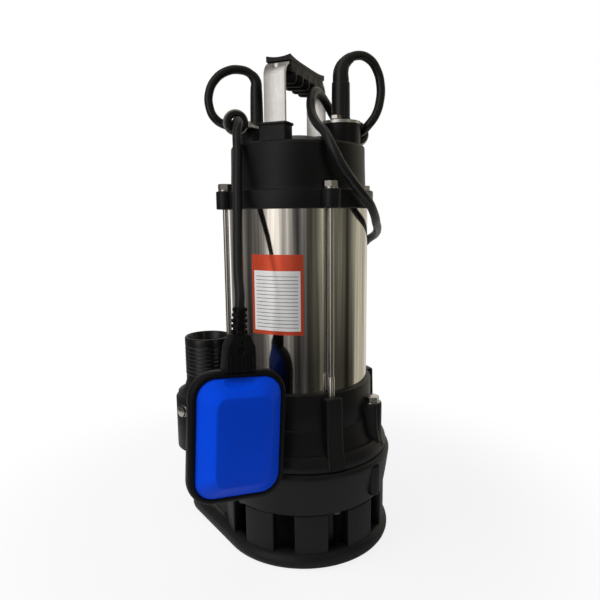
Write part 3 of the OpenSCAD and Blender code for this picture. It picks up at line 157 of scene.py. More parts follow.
class Bench:
    """Modelling moves, each done as by hand with Blender's own operators."""

    @staticmethod
    def clear() -> None:
        """Leaves edit mode and selects nothing."""
        if bpy.context.object and bpy.context.object.mode != "OBJECT":
            bpy.ops.object.mode_set(mode="OBJECT")
        bpy.ops.object.select_all(action="DESELECT")

    @classmethod
    def pick(cls, *objs: Piece) -> None:
        """Selects these objects alone, the first one active.

        Args:
            objs: the objects.
        """
        cls.clear()
        for obj in objs:
            obj.select_set(True)
        bpy.context.view_layer.objects.active = objs[0]

    @staticmethod
    def shape(name: str, corners: Iterable[Point]) -> Piece:
        """Names the primitive just added, enters edit mode and puts its points in place.

        Args:
            name: the piece's name.
            corners: a place for each of the primitive's points, in millimetres.

        Returns:
            The object, all selected, in edit mode.
        """
        obj = bpy.context.object
        obj.name = obj.data.name = name
        bpy.ops.object.mode_set(mode="EDIT")
        mesh = bmesh.from_edit_mesh(obj.data)
        for vert, corner in zip(mesh.verts, corners):
            vert.co = Vector(corner) * MM
        bmesh.update_edit_mesh(obj.data)
        bpy.ops.mesh.select_all(action="SELECT")
        return obj

    @staticmethod
    def close_up() -> None:
        """Merges doubles, fills open ends, turns every face outward and leaves edit mode."""
        bpy.ops.mesh.select_all(action="SELECT")
        bpy.ops.mesh.remove_doubles(threshold=MERGE)
        bpy.ops.mesh.fill_holes(sides=0)
        bpy.ops.mesh.select_all(action="SELECT")
        bpy.ops.mesh.normals_make_consistent(inside=False)
        bpy.ops.object.mode_set(mode="OBJECT")

    @classmethod
    def wire(cls, name: str, corners: Sequence[Point]) -> Piece:
        """Starts a piece as one closed wire, in edit mode.

        Args:
            name: the piece's name.
            corners: the wire's corners in order.

        Returns:
            The object with its wire selected.
        """
        cls.clear()
        bpy.ops.mesh.primitive_circle_add(vertices=len(corners), fill_type="NOTHING")
        return cls.shape(name, corners)

    @classmethod
    def lathe(cls, name: str, profile: Outline, at: Point = (0, 0, 0), steps: int = 128) -> Piece:
        """Turns a profile about an upright axis.

        Args:
            name: the piece's name.
            profile: closed outline as (radius, height) pairs.
            at: a point on the axis, where the heights start.
            steps: sides of the turned piece.

        Returns:
            The turned, closed piece.
        """
        obj = cls.wire(name, [(at[0] + r, at[1], at[2] + z) for r, z in profile])
        mesh = bmesh.from_edit_mesh(obj.data)
        on_axis = [e for e in mesh.edges if all(abs(v.co.x - at[0] * MM) < ON_AXIS for v in e.verts)]
        if on_axis:
            bpy.ops.mesh.select_all(action="DESELECT")
            for edge in on_axis:
                edge.select_set(True)
            bpy.ops.mesh.delete(type="EDGE")
            bpy.ops.mesh.select_all(action="SELECT")
        bpy.ops.mesh.spin(steps=steps, angle=math.tau, center=Vector(at) * MM, axis=(0, 0, 1))
        cls.close_up()
        return obj

    @classmethod
    def pin(cls, name: str, radius: float, low: float, high: float, at: Point = (0, 0), sides: int = 32) -> Piece:
        """A plain round pin, the tool for a round hole.

        Args:
            name: the piece's name.
            radius: its radius.
            low: height of its lower end.
            high: height of its upper end.
            at: its axis.
            sides: its sides.

        Returns:
            The closed pin.
        """
        return cls.lathe(name, [(0, low), (radius, low), (radius, high), (0, high)], (*at, 0), sides)

    @classmethod
    def prism(cls, name: str, outline: Outline, low: float, high: float) -> Piece:
        """Extrudes a flat outline upward.

        Args:
            name: the piece's name.
            outline: closed outline as (x, y) pairs.
            low: height of its lower face.
            high: height of its upper face.

        Returns:
            The extruded, closed piece.
        """
        obj = cls.wire(name, [(x, y, low) for x, y in outline])
        bpy.ops.mesh.edge_face_add()
        bpy.ops.mesh.extrude_region_move(TRANSFORM_OT_translate={"value": (0, 0, (high - low) * MM)})
        cls.close_up()
        return obj

    @classmethod
    def loft(cls, name: str, loops: Sequence[Sequence[Point]], ring: bool = False) -> Piece:
        """Wraps a grid through a row of wires.

        Args:
            name: the piece's name.
            loops: wires with the same number of corners each.
            ring: whether the last wire runs back into the first, where otherwise both ends are filled.

        Returns:
            The lofted, closed piece.
        """
        rows = [*loops, loops[0]] if ring else list(loops)
        cls.clear()
        bpy.ops.mesh.primitive_grid_add(x_subdivisions=len(rows[0]), y_subdivisions=len(rows) - 1)
        obj = cls.shape(name, [p for row in rows for p in (*row, row[0])])
        cls.close_up()
        return obj

    @classmethod
    def hose(cls, name: str, stations: Sequence[Sequence[float]], bore: float, sides: int = 40) -> Piece:
        """A sleeve of changing thickness along a line.

        Args:
            name: the piece's name.
            stations: x, y, z and outer radius of each place along it.
            bore: radius of the hole through it.
            sides: sides of its section.

        Returns:
            The hollow, closed sleeve.
        """
        spots = [Vector(station[:3]) for station in stations]
        outside, inside = [], []
        for i, (spot, station) in enumerate(zip(spots, stations)):
            ahead = (spots[min(i + 1, len(spots) - 1)] - spots[max(i - 1, 0)]).normalized()
            side = Vector((0, 1, 0)).cross(ahead).normalized()
            rise = ahead.cross(side)
            round_ = [side * c + rise * s for c, s in arc(1.0, 0, 360 - 360 / sides, sides - 1)]
            outside.append([tuple(spot + r * station[3]) for r in round_])
            inside.append([tuple(spot + r * bore) for r in round_])
        return cls.loft(name, outside + inside[::-1], ring=True)

    @classmethod
    def place(cls, obj: Piece, matrix: Matrix) -> Piece:
        """Moves a piece by a matrix in metres and puts that into its mesh.

        Args:
            obj: the piece.
            matrix: where it goes.

        Returns:
            The same piece.
        """
        cls.pick(obj)
        obj.matrix_world = matrix
        bpy.ops.object.transform_apply(location=True, rotation=True, scale=True)
        return obj

    @classmethod
    def copy(cls, obj: Piece, name: str, matrix: Matrix) -> Piece:
        """Copies a piece with its own mesh to another place.

        Args:
            obj: the piece to copy.
            name: the copy's name.
            matrix: where the copy goes, seen from the first.

        Returns:
            The copy.
        """
        cls.pick(obj)
        bpy.ops.object.duplicate(linked=False)
        twin = bpy.context.object
        twin.name = twin.data.name = name
        return cls.place(twin, matrix)

    @classmethod
    def repeat(cls, obj: Piece, spots: Sequence[Matrix]) -> list[Piece]:
        """Stands a piece at the first of several places, and copies of it at the others.

        Args:
            obj: the piece as modelled.
            spots: the places, as matrices in metres.

        Returns:
            The piece and its copies, in the order of the places.
        """
        copies = [cls.copy(obj, obj.name, spot) for spot in spots[1:]]
        return [cls.place(obj, spots[0]), *copies]

    @classmethod
    def join(cls, name: str, objs: Sequence[Piece]) -> Piece:
        """Makes one piece of several.

        Args:
            name: the joined piece's name.
            objs: the pieces.

        Returns:
            The joined piece.
        """
        cls.pick(*objs)
        bpy.ops.object.join()
        obj = bpy.context.object
        obj.name = obj.data.name = name
        return obj

    @classmethod
    def change(cls, obj: Piece, kind: str, **settings: object) -> Piece:
        """Adds a modifier and applies it.

        Args:
            obj: the piece.
            kind: the modifier's type.
            settings: the modifier's own settings.

        Returns:
            The same piece.
        """
        cls.pick(obj)
        modifier = obj.modifiers.new(kind.lower(), kind)
        for key, value in settings.items():
            setattr(modifier, key, value)
        bpy.ops.object.modifier_apply(modifier=modifier.name)
        return obj

    @classmethod
    def cut(cls, obj: Piece, how: Cut, *tools: Piece) -> Piece:
        """Combines a piece with closed tools, which are used up, and clears the slivers.

        Args:
            obj: the piece.
            how: the way of combining.
            tools: the closed pieces that cut it or join it.

        Returns:
            The same piece.
        """
        for tool in tools:
            cls.change(obj, "BOOLEAN", object=tool, operation=how.value, solver="EXACT")
            bpy.data.objects.remove(tool)
        cls.pick(obj)
        bpy.ops.object.mode_set(mode="EDIT")
        bpy.ops.mesh.select_all(action="SELECT")
        bpy.ops.mesh.remove_doubles(threshold=SLIVER)
        bpy.ops.mesh.dissolve_degenerate(threshold=SLIVER)
        bpy.ops.object.mode_set(mode="OBJECT")
        return obj

    @classmethod
    def ease(cls, obj: Piece, width: float, angle: float = 35.0, segments: int = 2) -> Piece:
        """Rounds the sharp edges.

        Args:
            obj: the piece.
            width: width of the rounding.
            angle: the least angle of an edge that is rounded, in degrees.
            segments: faces across the rounding.

        Returns:
            The same piece.
        """
        return cls.change(obj, "BEVEL", width=width * MM, segments=segments, limit_method="ANGLE",
                          angle_limit=math.radians(angle), harden_normals=False)

    @classmethod
    def shade(cls, obj: Piece, angle: float = 32.0) -> Piece:
        """Shades a piece smooth, apart from its sharp edges.

        Args:
            obj: the piece.
            angle: the least angle of an edge that stays sharp, in degrees.

        Returns:
            The same piece.
        """
        cls.pick(obj)
        bpy.ops.object.shade_smooth_by_angle(angle=math.radians(angle))
        return obj


@dataclass(frozen=True)
class Finish:
    """A surface: its colour and gloss, and the fine detail in both.

    Attributes:
        slot: the record's material slot.
        colour: the base colour.
        roughness: the mean roughness.
        metallic: 1 for bare metal.
        grain: fine grains per metre.
        relief: strength of the grain's bump.
        mottle: how far the colour wanders, as a share of it.
        marks: strength of the fine lines of handling or working.
        along: how often those lines repeat along X, Y and Z, per metre.
        dust: share of pale dust on faces that look up.
        coat: weight of a clear gloss coat.
        gloss: the shader's specular level, 0.5 for a usual plastic.
        mark: ending of the material's name, where a slot has more than one finish.
    """

    slot: str
    colour: Colour
    roughness: float = 0.45
    metallic: float = 0.0
    grain: float = 1500.0
    relief: float = 0.12
    mottle: float = 0.12
    marks: float = 0.15
    along: Point = (60.0, 60.0, 900.0)
    dust: float = 0.0
    coat: float = 0.0
    gloss: float = 0.5
    mark: str = ""


BLACK = Finish("black_moulding", (0.0042, 0.0043, 0.0052), 0.38, grain=1700, relief=0.1, dust=0.03, gloss=0.28)
GLOSSY = replace(BLACK, roughness=0.24, relief=0.02, dust=0.0, gloss=0.45, mark="_glossy")
GRIP = Finish("grip", (0.007, 0.007, 0.0076), 0.5, grain=900, relief=0.22, dust=0.04, gloss=0.36)
POLISHED = Finish("polished_steel", (0.66, 0.645, 0.61), 0.07, 1.0, 500, 0.008, 0.03, 0.05, (3, 3, 700))
STRAP = Finish("strap_steel", (0.8, 0.81, 0.82), 0.3, 1.0, 4000, 0.05, 0.2, 0.5, (500, 500, 25))
FASTENER = Finish("fastener_steel", (0.54, 0.525, 0.49), 0.2, 1.0, 900, 0.02, 0.08, 0.06, (300, 300, 60))
DULL = Finish("fastener_steel", (0.09, 0.088, 0.085), 0.5, 1.0, 900, 0.05, 0.1, 0.1, mark="_dull")
BEARING = Finish("bearing_steel", (0.7, 0.7, 0.71), 0.16, 1.0, 900, 0.02, 0.04, 0.2, (60, 60, 1500))
SEAL = Finish("seal_rubber", (0.018, 0.018, 0.019), 0.62, grain=2400, relief=0.2)
CABLE = Finish("cable_rubber", (0.0062, 0.0067, 0.0069), 0.34, grain=1300, relief=0.14, marks=0.2,
               along=(500, 500, 40), dust=0.03, gloss=0.46)
TIE = Finish("tie_plastic", (0.016, 0.016, 0.017), 0.4, grain=900, marks=0.3, along=(30, 30, 1500))
BRASS = Finish("plug_brass", (0.72, 0.5, 0.2), 0.25, 1.0, 1200, 0.05, 0.08, 0.2, (40, 900, 900))
ALUMINIUM = Finish("bracket_aluminium", (0.6, 0.61, 0.62), 0.42, 1.0, 1100, 0.3, 0.08, 0.2)
IRON = Finish("core_iron", (0.27, 0.26, 0.25), 0.4, 1.0, 900, 0.1, 0.12, 0.8, (4, 4, 1900))
COPPER = Finish("copper_wire", (0.62, 0.25, 0.1), 0.3, 1.0, 500, 0.15, 0.15, 0.8, (700, 700, 700), coat=0.5)
PALE = Finish("pale_plastic", (0.66, 0.65, 0.6), 0.4, grain=900, mottle=0.04)
SWITCH = Finish("switch_plastic", (0.03, 0.03, 0.032), 0.4, grain=1500)
BLUE = Finish("float_blue", (0.0, 0.068, 0.8), 0.4, grain=650, relief=0.04, mottle=0.08, marks=0.04,
              along=(90, 90, 90), gloss=0.1)
# painted shade: the back shell gets a much darker copy of the float blue, standing for the shade on its side that
# faces the barrel
BLUE_PAINTED_SHADE = replace(BLUE, colour=(0.0, 0.009, 0.085), mark="_back")
RIM = Finish("float_black", (0.003, 0.003, 0.0042), 0.42, grain=1500, relief=0.12, dust=0.02, gloss=0.16)


class Effects:
    """Node groups that the materials share, each made once."""

    @staticmethod
    def group(name: str, inputs: dict[str, str], outputs: Sequence[str]) -> bpy.types.NodeTree:
        """An empty node group.

        Args:
            name: the group's name.
            inputs: socket types by input name.
            outputs: names of its float outputs.

        Returns:
            The group, with its input and output nodes in it.
        """
        tree = bpy.data.node_groups.new(name, "ShaderNodeTree")
        for key, kind in inputs.items():
            tree.interface.new_socket(name=key, in_out="INPUT", socket_type=kind)
        for key in outputs:
            tree.interface.new_socket(name=key, in_out="OUTPUT", socket_type="NodeSocketFloat")
        tree.nodes.new("NodeGroupInput").name = "in"
        tree.nodes.new("NodeGroupOutput").name = "out"
        return tree

    @staticmethod
    def math(tree: bpy.types.NodeTree, how: str, *values: object) -> bpy.types.NodeSocket:
        """Adds a math node.

        Args:
            tree: where it goes.
            how: its operation.
            values: a number or a socket for each input.

        Returns:
            Its output.
        """
        node = tree.nodes.new("ShaderNodeMath")
        node.operation = how
        for socket, value in zip(node.inputs, values):
            if isinstance(value, bpy.types.NodeSocket):
                tree.links.new(value, socket)
            else:
                socket.default_value = value
        return node.outputs[0]

    @staticmethod
    def noise(tree: bpy.types.NodeTree, where: bpy.types.NodeSocket, scale: object,
              detail: float = 3.0) -> bpy.types.NodeSocket:
        """Adds a noise texture.

        Args:
            tree: where it goes.
            where: the coordinates.
            scale: a number or a socket.
            detail: octaves of the noise.

        Returns:
            Its value, from 0 to 1.
        """
        node = tree.nodes.new("ShaderNodeTexNoise")
        node.inputs["Detail"].default_value = detail
        tree.links.new(where, node.inputs["Vector"])
        if isinstance(scale, bpy.types.NodeSocket):
            tree.links.new(scale, node.inputs["Scale"])
        else:
            node.inputs["Scale"].default_value = scale
        return node.outputs[0]

    @staticmethod
    def span(tree: bpy.types.NodeTree, value: bpy.types.NodeSocket, limits: Point,
             smooth: bool = False) -> bpy.types.NodeSocket:
        """Maps a value from one range to another.

        Args:
            tree: where the node goes.
            value: the value.
            limits: both ends of the first range, then both ends of the second.
            smooth: whether it eases in and out.

        Returns:
            The mapped value.
        """
        node = tree.nodes.new("ShaderNodeMapRange")
        if smooth:
            node.interpolation_type = "SMOOTHSTEP"
        for key, limit in zip(("From Min", "From Max", "To Min", "To Max"), limits):
            node.inputs[key].default_value = limit
        tree.links.new(value, node.inputs["Value"])
        return node.outputs[0]

    @classmethod
    def grain(cls) -> bpy.types.NodeTree:
        """The fine texture of a moulded or cast skin, and slow wandering of its colour.

        Returns:
            The group, with a height and a slow value from 0 to 1.
        """
        tree = bpy.data.node_groups.get("SkinGrain")
        if tree:
            return tree
        tree = cls.group("SkinGrain", {"Vector": "NodeSocketVector", "Scale": "NodeSocketFloat"},
                         ("Height", "Wander"))
        start, end = tree.nodes["in"], tree.nodes["out"]
        fine = cls.noise(tree, start.outputs["Vector"], start.outputs["Scale"], 4.0)
        coarse = cls.math(tree, "MULTIPLY", start.outputs["Scale"], 0.04)
        slow = cls.noise(tree, start.outputs["Vector"], coarse, 3.0)
        tree.links.new(fine, end.inputs["Height"])
        tree.links.new(slow, end.inputs["Wander"])
        return tree

    @classmethod
    def marks(cls) -> bpy.types.NodeTree:
        """Fine lines of working or handling.

        Returns:
            The group, with the lines' mask.
        """
        tree = bpy.data.node_groups.get("FineLines")
        if tree:
            return tree
        tree = cls.group("FineLines", {"Vector": "NodeSocketVector", "Along": "NodeSocketVector"}, ("Mask",))
        start, end = tree.nodes["in"], tree.nodes["out"]
        scaled = tree.nodes.new("ShaderNodeVectorMath")
        scaled.operation = "MULTIPLY"
        tree.links.new(start.outputs["Vector"], scaled.inputs[0])
        tree.links.new(start.outputs["Along"], scaled.inputs[1])
        lines = cls.noise(tree, scaled.outputs[0], 1.0, 2.0)
        patches = cls.noise(tree, start.outputs["Vector"], 18.0, 2.0)
        sharp = cls.math(tree, "SMOOTH_MIN", cls.math(tree, "MULTIPLY", lines, lines), 0.5, 0.2)
        mask = cls.math(tree, "MULTIPLY", sharp, cls.math(tree, "MULTIPLY", patches, 3.0))
        tree.links.new(mask, end.inputs["Mask"])
        return tree

    @classmethod
    def dust(cls) -> bpy.types.NodeTree:
        """Dust that settles on faces that look up.

        Returns:
            The group, with the dust's mask.
        """
        tree = bpy.data.node_groups.get("SettledDust")
        if tree:
            return tree
        tree = cls.group("SettledDust", {"Vector": "NodeSocketVector"}, ("Mask",))
        start, end = tree.nodes["in"], tree.nodes["out"]
        facing = tree.nodes.new("ShaderNodeSeparateXYZ")
        tree.links.new(tree.nodes.new("ShaderNodeNewGeometry").outputs["Normal"], facing.inputs[0])
        up = cls.math(tree, "MAXIMUM", facing.outputs["Z"], 0.0)
        specks = cls.noise(tree, start.outputs["Vector"], 140.0, 6.0)
        tree.links.new(cls.math(tree, "MULTIPLY", up, specks), end.inputs["Mask"])
        return tree


class Paint:
    """Makes materials from finishes and lays them on pieces.

    Attributes:
        made: the materials so far, by name.
        dust: colour of settled dust.
        relief_depth: depth of the grain's bump, in metres.
        coat_roughness: roughness of a clear coat.
        worn_metal: how bright worn lines are on metal, against its colour.
        worn_plastic: the same on plastic.
    """

    made: dict[str, bpy.types.Material] = {}
    dust: Colour = (0.32, 0.31, 0.29)
    relief_depth: float = 0.0004
    coat_roughness: float = 0.15
    worn_metal: float = 0.8
    worn_plastic: float = 1.5

    @staticmethod
    def start(name: str) -> tuple[bpy.types.Material, bpy.types.NodeTree, bpy.types.Node]:
        """A new material with a Principled shader.

        Args:
            name: the material's name.

        Returns:
            The material, its node tree and its shader.
        """
        material = bpy.data.materials.new(name)
        material.use_nodes = True
        tree = material.node_tree
        return material, tree, tree.nodes["Principled BSDF"]

    @staticmethod
    def use(tree: bpy.types.NodeTree, group: bpy.types.NodeTree, **inputs: object) -> bpy.types.Node:
        """Puts a shared effect into a material.

        Args:
            tree: the material's tree.
            group: the effect.
            inputs: a socket or a constant for each of its inputs.

        Returns:
            The group's node.
        """
        node = tree.nodes.new("ShaderNodeGroup")
        node.node_tree = group
        for key, value in inputs.items():
            if isinstance(value, bpy.types.NodeSocket):
                tree.links.new(value, node.inputs[key])
            else:
                node.inputs[key].default_value = value
        return node

    @staticmethod
    def mix(tree: bpy.types.NodeTree, share: bpy.types.NodeSocket, low: object,
            high: object) -> bpy.types.NodeSocket:
        """Mixes two colours.

        Args:
            tree: the material's tree.
            share: how much of the second one.
            low: the first colour or its socket.
            high: the second colour or its socket.

        Returns:
            The mixed colour.
        """
        node = tree.nodes.new("ShaderNodeMix")
        node.data_type = "RGBA"
        tree.links.new(share, node.inputs[0])
        for socket, value in ((node.inputs[6], low), (node.inputs[7], high)):
            if isinstance(value, bpy.types.NodeSocket):
                tree.links.new(value, socket)
            else:
                socket.default_value = (*value, 1.0)
        return node.outputs[2]

    @staticmethod
    def blend(tree: bpy.types.NodeTree, share: bpy.types.NodeSocket, first: bpy.types.NodeSocket,
              second: bpy.types.NodeSocket) -> bpy.types.NodeSocket:
        """Mixes two shaders.

        Args:
            tree: the tree they are in.
            share: how much of the second one.
            first: the first shader.
            second: the second shader.

        Returns:
            The mixed shader.
        """
        node = tree.nodes.new("ShaderNodeMixShader")
        for socket, source in zip(node.inputs, (share, first, second)):
            tree.links.new(source, socket)
        return node.outputs[0]

    @staticmethod
    def bump(tree: bpy.types.NodeTree, shader: bpy.types.Node, height: bpy.types.NodeSocket, strength: float,
             depth: float) -> None:
        """Gives a shader fine relief.

        Args:
            tree: the material's tree.
            shader: the shader.
            height: the relief's height.
            strength: how strongly it shows.
            depth: its depth in metres.
        """
        node = tree.nodes.new("ShaderNodeBump")
        node.inputs["Strength"].default_value = strength
        node.inputs["Distance"].default_value = depth
        tree.links.new(height, node.inputs["Height"])
        tree.links.new(node.outputs["Normal"], shader.inputs["Normal"])

    @classmethod
    def material(cls, look: Finish) -> bpy.types.Material:
        """The material of a finish, made once.

        Args:
            look: the finish.

        Returns:
            The material.
        """
        name = look.slot + look.mark
        if name in cls.made:
            return cls.made[name]
        material, tree, shader = cls.start(name)
        place = tree.nodes.new("ShaderNodeTexCoord").outputs["Object"]
        grain = cls.use(tree, Effects.grain(), Vector=place, Scale=look.grain)
        lines = cls.use(tree, Effects.marks(), Vector=place, Along=look.along)
        wander = grain.outputs["Wander"]
        line = Effects.math(tree, "MULTIPLY", lines.outputs["Mask"], look.marks)
        dark = tuple(c * (1 - look.mottle) for c in look.colour)
        pale = tuple(min(1.0, c * (1 + look.mottle)) for c in look.colour)
        wear = cls.worn_metal if look.metallic else cls.worn_plastic
        worn = tuple(min(1.0, c * wear) for c in look.colour)
        colour = cls.mix(tree, line, cls.mix(tree, wander, dark, pale), worn)
        rough = Effects.math(tree, "MULTIPLY_ADD", wander, 0.16 * look.roughness + 0.02, 0.92 * look.roughness)
        rough = Effects.math(tree, "MULTIPLY_ADD", line, 0.25, rough)
        if look.dust:
            settled = cls.use(tree, Effects.dust(), Vector=place)
            dusty = Effects.math(tree, "MULTIPLY", settled.outputs["Mask"], look.dust)
            colour = cls.mix(tree, dusty, colour, cls.dust)
            rough = Effects.math(tree, "MULTIPLY_ADD", dusty, 1.2, rough)
        height = Effects.math(tree, "MULTIPLY_ADD", line, 0.6, grain.outputs["Height"])
        cls.bump(tree, shader, height, look.relief, cls.relief_depth)
        tree.links.new(colour, shader.inputs["Base Color"])
        tree.links.new(rough, shader.inputs["Roughness"])
        shader.inputs["Metallic"].default_value = look.metallic
        shader.inputs["Specular IOR Level"].default_value = look.gloss
        shader.inputs["Coat Weight"].default_value = look.coat
        shader.inputs["Coat Roughness"].default_value = cls.coat_roughness
        cls.made[name] = material
        return material

    @classmethod
    def lay(cls, obj: Piece, look: Finish) -> None:
        """Gives a piece or a carried-over solid a finish.

        Args:
            obj: the piece or solid.
            look: the finish.
        """
        material = cls.material(look)
        if not obj.material_slots:
            obj.data.materials.append(material)
        for slot in obj.material_slots:
            slot.material = material


def fit(obj: Piece, look: Finish, *nodes: str, body: Body = Body.PUMP) -> Piece:
    """Finishes a piece and puts it on the frame.

    Args:
        obj: the piece.
        look: its finish.
        nodes: the solids that it stands for.
        body: the moving body that it rides on.

    Returns:
        The same piece.
    """
    Paint.lay(obj, look)
    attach(obj, body.value)
    if nodes:
        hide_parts(*nodes)
    LOG.info("%s rides on %s", obj.name, body.value)
    return obj


@dataclass
class Studio:
    """Camera, floor and light of a plain white studio.

    Attributes:
        eye: where the camera stands.
        turn: the camera's heading about Z, in degrees.
        pitch: how far it looks down, in degrees.
        roll: how far it is tilted, in degrees.
        lens: focal length of the camera.
        sensor: width of its sensor.
        floor_r: radius of the floor.
        floor_at: middle of the floor.
        floor_grey: its grey, as light sees it.
        fade: from and to which distance, in metres, the seen floor goes to plain white, and the shares of white.
        ambient: strength of the light all round.
        tint: colour of that light.
        bands: bearing in degrees and brightness of what shiny faces see of the room.
        green: green of those bands, against their red.
        blue: blue of the warm bands, and of the others, against their red.
        warm: bearings between which the bands are warm, in degrees.
        low_room: slope from and to which the room brightens upwards, and its two levels.
        bright_side: bearing, in radians, past which the room is bright all over, and that level.
        streaks: how often the room's streaks change with the bearing and the slope, their strength and their base.
        lamps: name, place in metres, size in metres and power in watts of each lamp.
        aim: what the lamps look at, in metres.
    """

    eye: Point = (201.8, -485.5, 311.7)
    turn: float = 22.5
    pitch: float = 8.85
    roll: float = -0.56
    lens: float = 32.80
    sensor: float = 36.0
    floor_r: float = 430.0
    floor_at: Point = (-30.0, 30.0, -0.4)
    floor_grey: float = 0.68
    fade: Point = (0.2, 0.41, 0.85, 1.0)
    ambient: float = 0.25
    tint: Colour = (0.96, 0.98, 1.0)
    bands: Sequence[tuple[float, float]] = (
        (-180, 0.13), (-168, 0.15), (-156, 0.03), (-145, 0.09), (-135, 0.13), (-125, 0.24), (-117, 0.77),
        (-108, 1.0), (-100, 0.8), (-91, 0.3), (-84, 0.47), (-76, 0.1), (-68, 0.02), (-60.5, 0.19), (-52.6, 0.035),
        (-44.5, 0.065), (-36, 0.1), (-28.3, 0.42), (-19.8, 0.1), (-10.5, 0.12), (8.2, 0.1), (19, 0.015),
        (31.4, 0.18), (46, 0.41), (64.4, 0.34), (100, 0.5), (156, 0.08))
    green: float = 0.94
    blue: tuple[float, float] = (0.74, 0.88)
    warm: tuple[float, float] = (-60.0, 90.0)
    low_room: Point = (-0.27, -0.07, 0.45, 1.5)
    bright_side: tuple[float, float] = (0.62, 1.5)
    streaks: Point = (15.0, 3.0, 2.6, -0.3)
    lamps: Sequence[tuple[str, Point, float, float]] = (
        ("key", (-1.3, -1.0, 0.9), 1.5, 30.0), ("fill", (1.35, -0.55, 0.75), 0.7, 1.2),
        ("top", (0.0, -0.25, 1.6), 1.0, 8.0))
    aim: Point = (0.0, 0.0, 0.22)

    def camera(self) -> None:
        """Stands the camera where the photograph was taken."""
        a, p, r = (math.radians(v) for v in (self.turn, self.pitch, self.roll))
        level = Vector((math.cos(a), math.sin(a), 0))
        ahead = Vector((-math.sin(a), math.cos(a), 0))
        rise = math.sin(p) * ahead + math.cos(p) * Vector((0, 0, 1))
        right = math.cos(r) * level + math.sin(r) * rise
        up = -math.sin(r) * level + math.cos(r) * rise
        Bench.clear()
        bpy.ops.object.camera_add()
        camera = bpy.context.object
        camera.name = "photo_camera"
        camera.data.lens = self.lens
        camera.data.sensor_width = self.sensor
        camera.data.clip_start = 0.01
        turn = Matrix((right, up, right.cross(up))).transposed().to_4x4()
        camera.matrix_world = Matrix.Translation(Vector(self.eye) * MM) @ turn
        bpy.context.scene.camera = camera

    def floor(self) -> None:
        """Lays a pale floor with the object's shadow on it, nearly white from above and clear from below."""
        Bench.clear()
        bpy.ops.mesh.primitive_circle_add(vertices=96, radius=self.floor_r * MM, fill_type="NGON",
                                          location=Vector(self.floor_at) * MM)
        ground = bpy.context.object
        ground.name = "studio_floor"
        material, tree, shader = Paint.start("studio_floor")
        shader.inputs["Base Color"].default_value = (*[self.floor_grey] * 3, 1)
        shader.inputs["Roughness"].default_value = 0.9
        reach = tree.nodes.new("ShaderNodeVectorMath")
        reach.operation = "LENGTH"
        tree.links.new(tree.nodes.new("ShaderNodeTexCoord").outputs["Object"], reach.inputs[0])
        white = Effects.span(tree, reach.outputs["Value"], self.fade, smooth=True)
        seen = tree.nodes.new("ShaderNodeLightPath").outputs["Is Camera Ray"]
        glow = tree.nodes.new("ShaderNodeEmission").outputs[0]
        above = Paint.blend(tree, Effects.math(tree, "MULTIPLY", seen, white), shader.outputs[0], glow)
        below = tree.nodes.new("ShaderNodeNewGeometry").outputs["Backfacing"]
        clear = tree.nodes.new("ShaderNodeBsdfTransparent").outputs[0]
        tree.links.new(Paint.blend(tree, below, above, clear), tree.nodes["Material Output"].inputs["Surface"])
        ground.data.materials.append(material)

    def world(self) -> None:
        """A white backdrop for the camera, soft light all round, and a banded room for shiny faces."""
        world = bpy.data.worlds.new("studio")
        bpy.context.scene.world = world
        world.use_nodes = True
        tree = world.node_tree
        light = tree.nodes["Background"]
        light.inputs["Color"].default_value = (*self.tint, 1)
        light.inputs["Strength"].default_value = self.ambient
        white = tree.nodes.new("ShaderNodeBackground")
        white.inputs["Color"].default_value = (1, 1, 1, 1)
        path = tree.nodes.new("ShaderNodeLightPath").outputs
        lit = Paint.blend(tree, path["Is Glossy Ray"], light.outputs[0], self.room(tree))
        direct = Effects.math(tree, "MAXIMUM", path["Is Camera Ray"], path["Is Transmission Ray"])
        seen = Paint.blend(tree, direct, lit, white.outputs[0])
        tree.links.new(seen, tree.nodes["World Output"].inputs["Surface"])

    def room(self, tree: bpy.types.NodeTree) -> bpy.types.NodeSocket:
        """The room that shiny faces see: upright bands, darker low down, with streaks in them.

        Args:
            tree: the world's tree.

        Returns:
            The room's light.
        """
        calc = Effects.math
        room = tree.nodes.new("ShaderNodeBackground")
        way = tree.nodes.new("ShaderNodeSeparateXYZ")
        tree.links.new(tree.nodes.new("ShaderNodeTexCoord").outputs["Generated"], way.inputs[0])
        bearing, slope = calc(tree, "ARCTAN2", way.outputs["Y"], way.outputs["X"]), way.outputs["Z"]
        ramp = tree.nodes.new("ShaderNodeValToRGB")
        tree.links.new(calc(tree, "MULTIPLY_ADD", bearing, 1 / math.tau, 0.5), ramp.inputs[0])
        steps = ramp.color_ramp.elements
        for degrees, _ in self.bands[2:]:
            steps.new(degrees / 360 + 0.5)
        for step, (degrees, bright) in zip(steps, self.bands):
            blue = self.blue[0] if self.warm[0] < degrees < self.warm[1] else self.blue[1]
            step.position = degrees / 360 + 0.5
            step.color = (bright, bright * self.green, bright * blue, 1)
        tree.links.new(ramp.outputs[0], room.inputs["Color"])
        edge, bright = self.bright_side
        side = calc(tree, "MULTIPLY", calc(tree, "GREATER_THAN", bearing, edge), bright)
        level = calc(tree, "MAXIMUM", Effects.span(tree, slope, self.low_room), side)
        around, upward, strength, base = self.streaks
        where = tree.nodes.new("ShaderNodeCombineXYZ")
        tree.links.new(calc(tree, "MULTIPLY", bearing, around), where.inputs["X"])
        tree.links.new(calc(tree, "MULTIPLY", slope, upward), where.inputs["Y"])
        streaks = calc(tree, "MULTIPLY_ADD", Effects.noise(tree, where.outputs[0], 1.0, 3.0), strength, base)
        tree.links.new(calc(tree, "MULTIPLY", level, streaks), room.inputs["Strength"])
        return room.outputs[0]

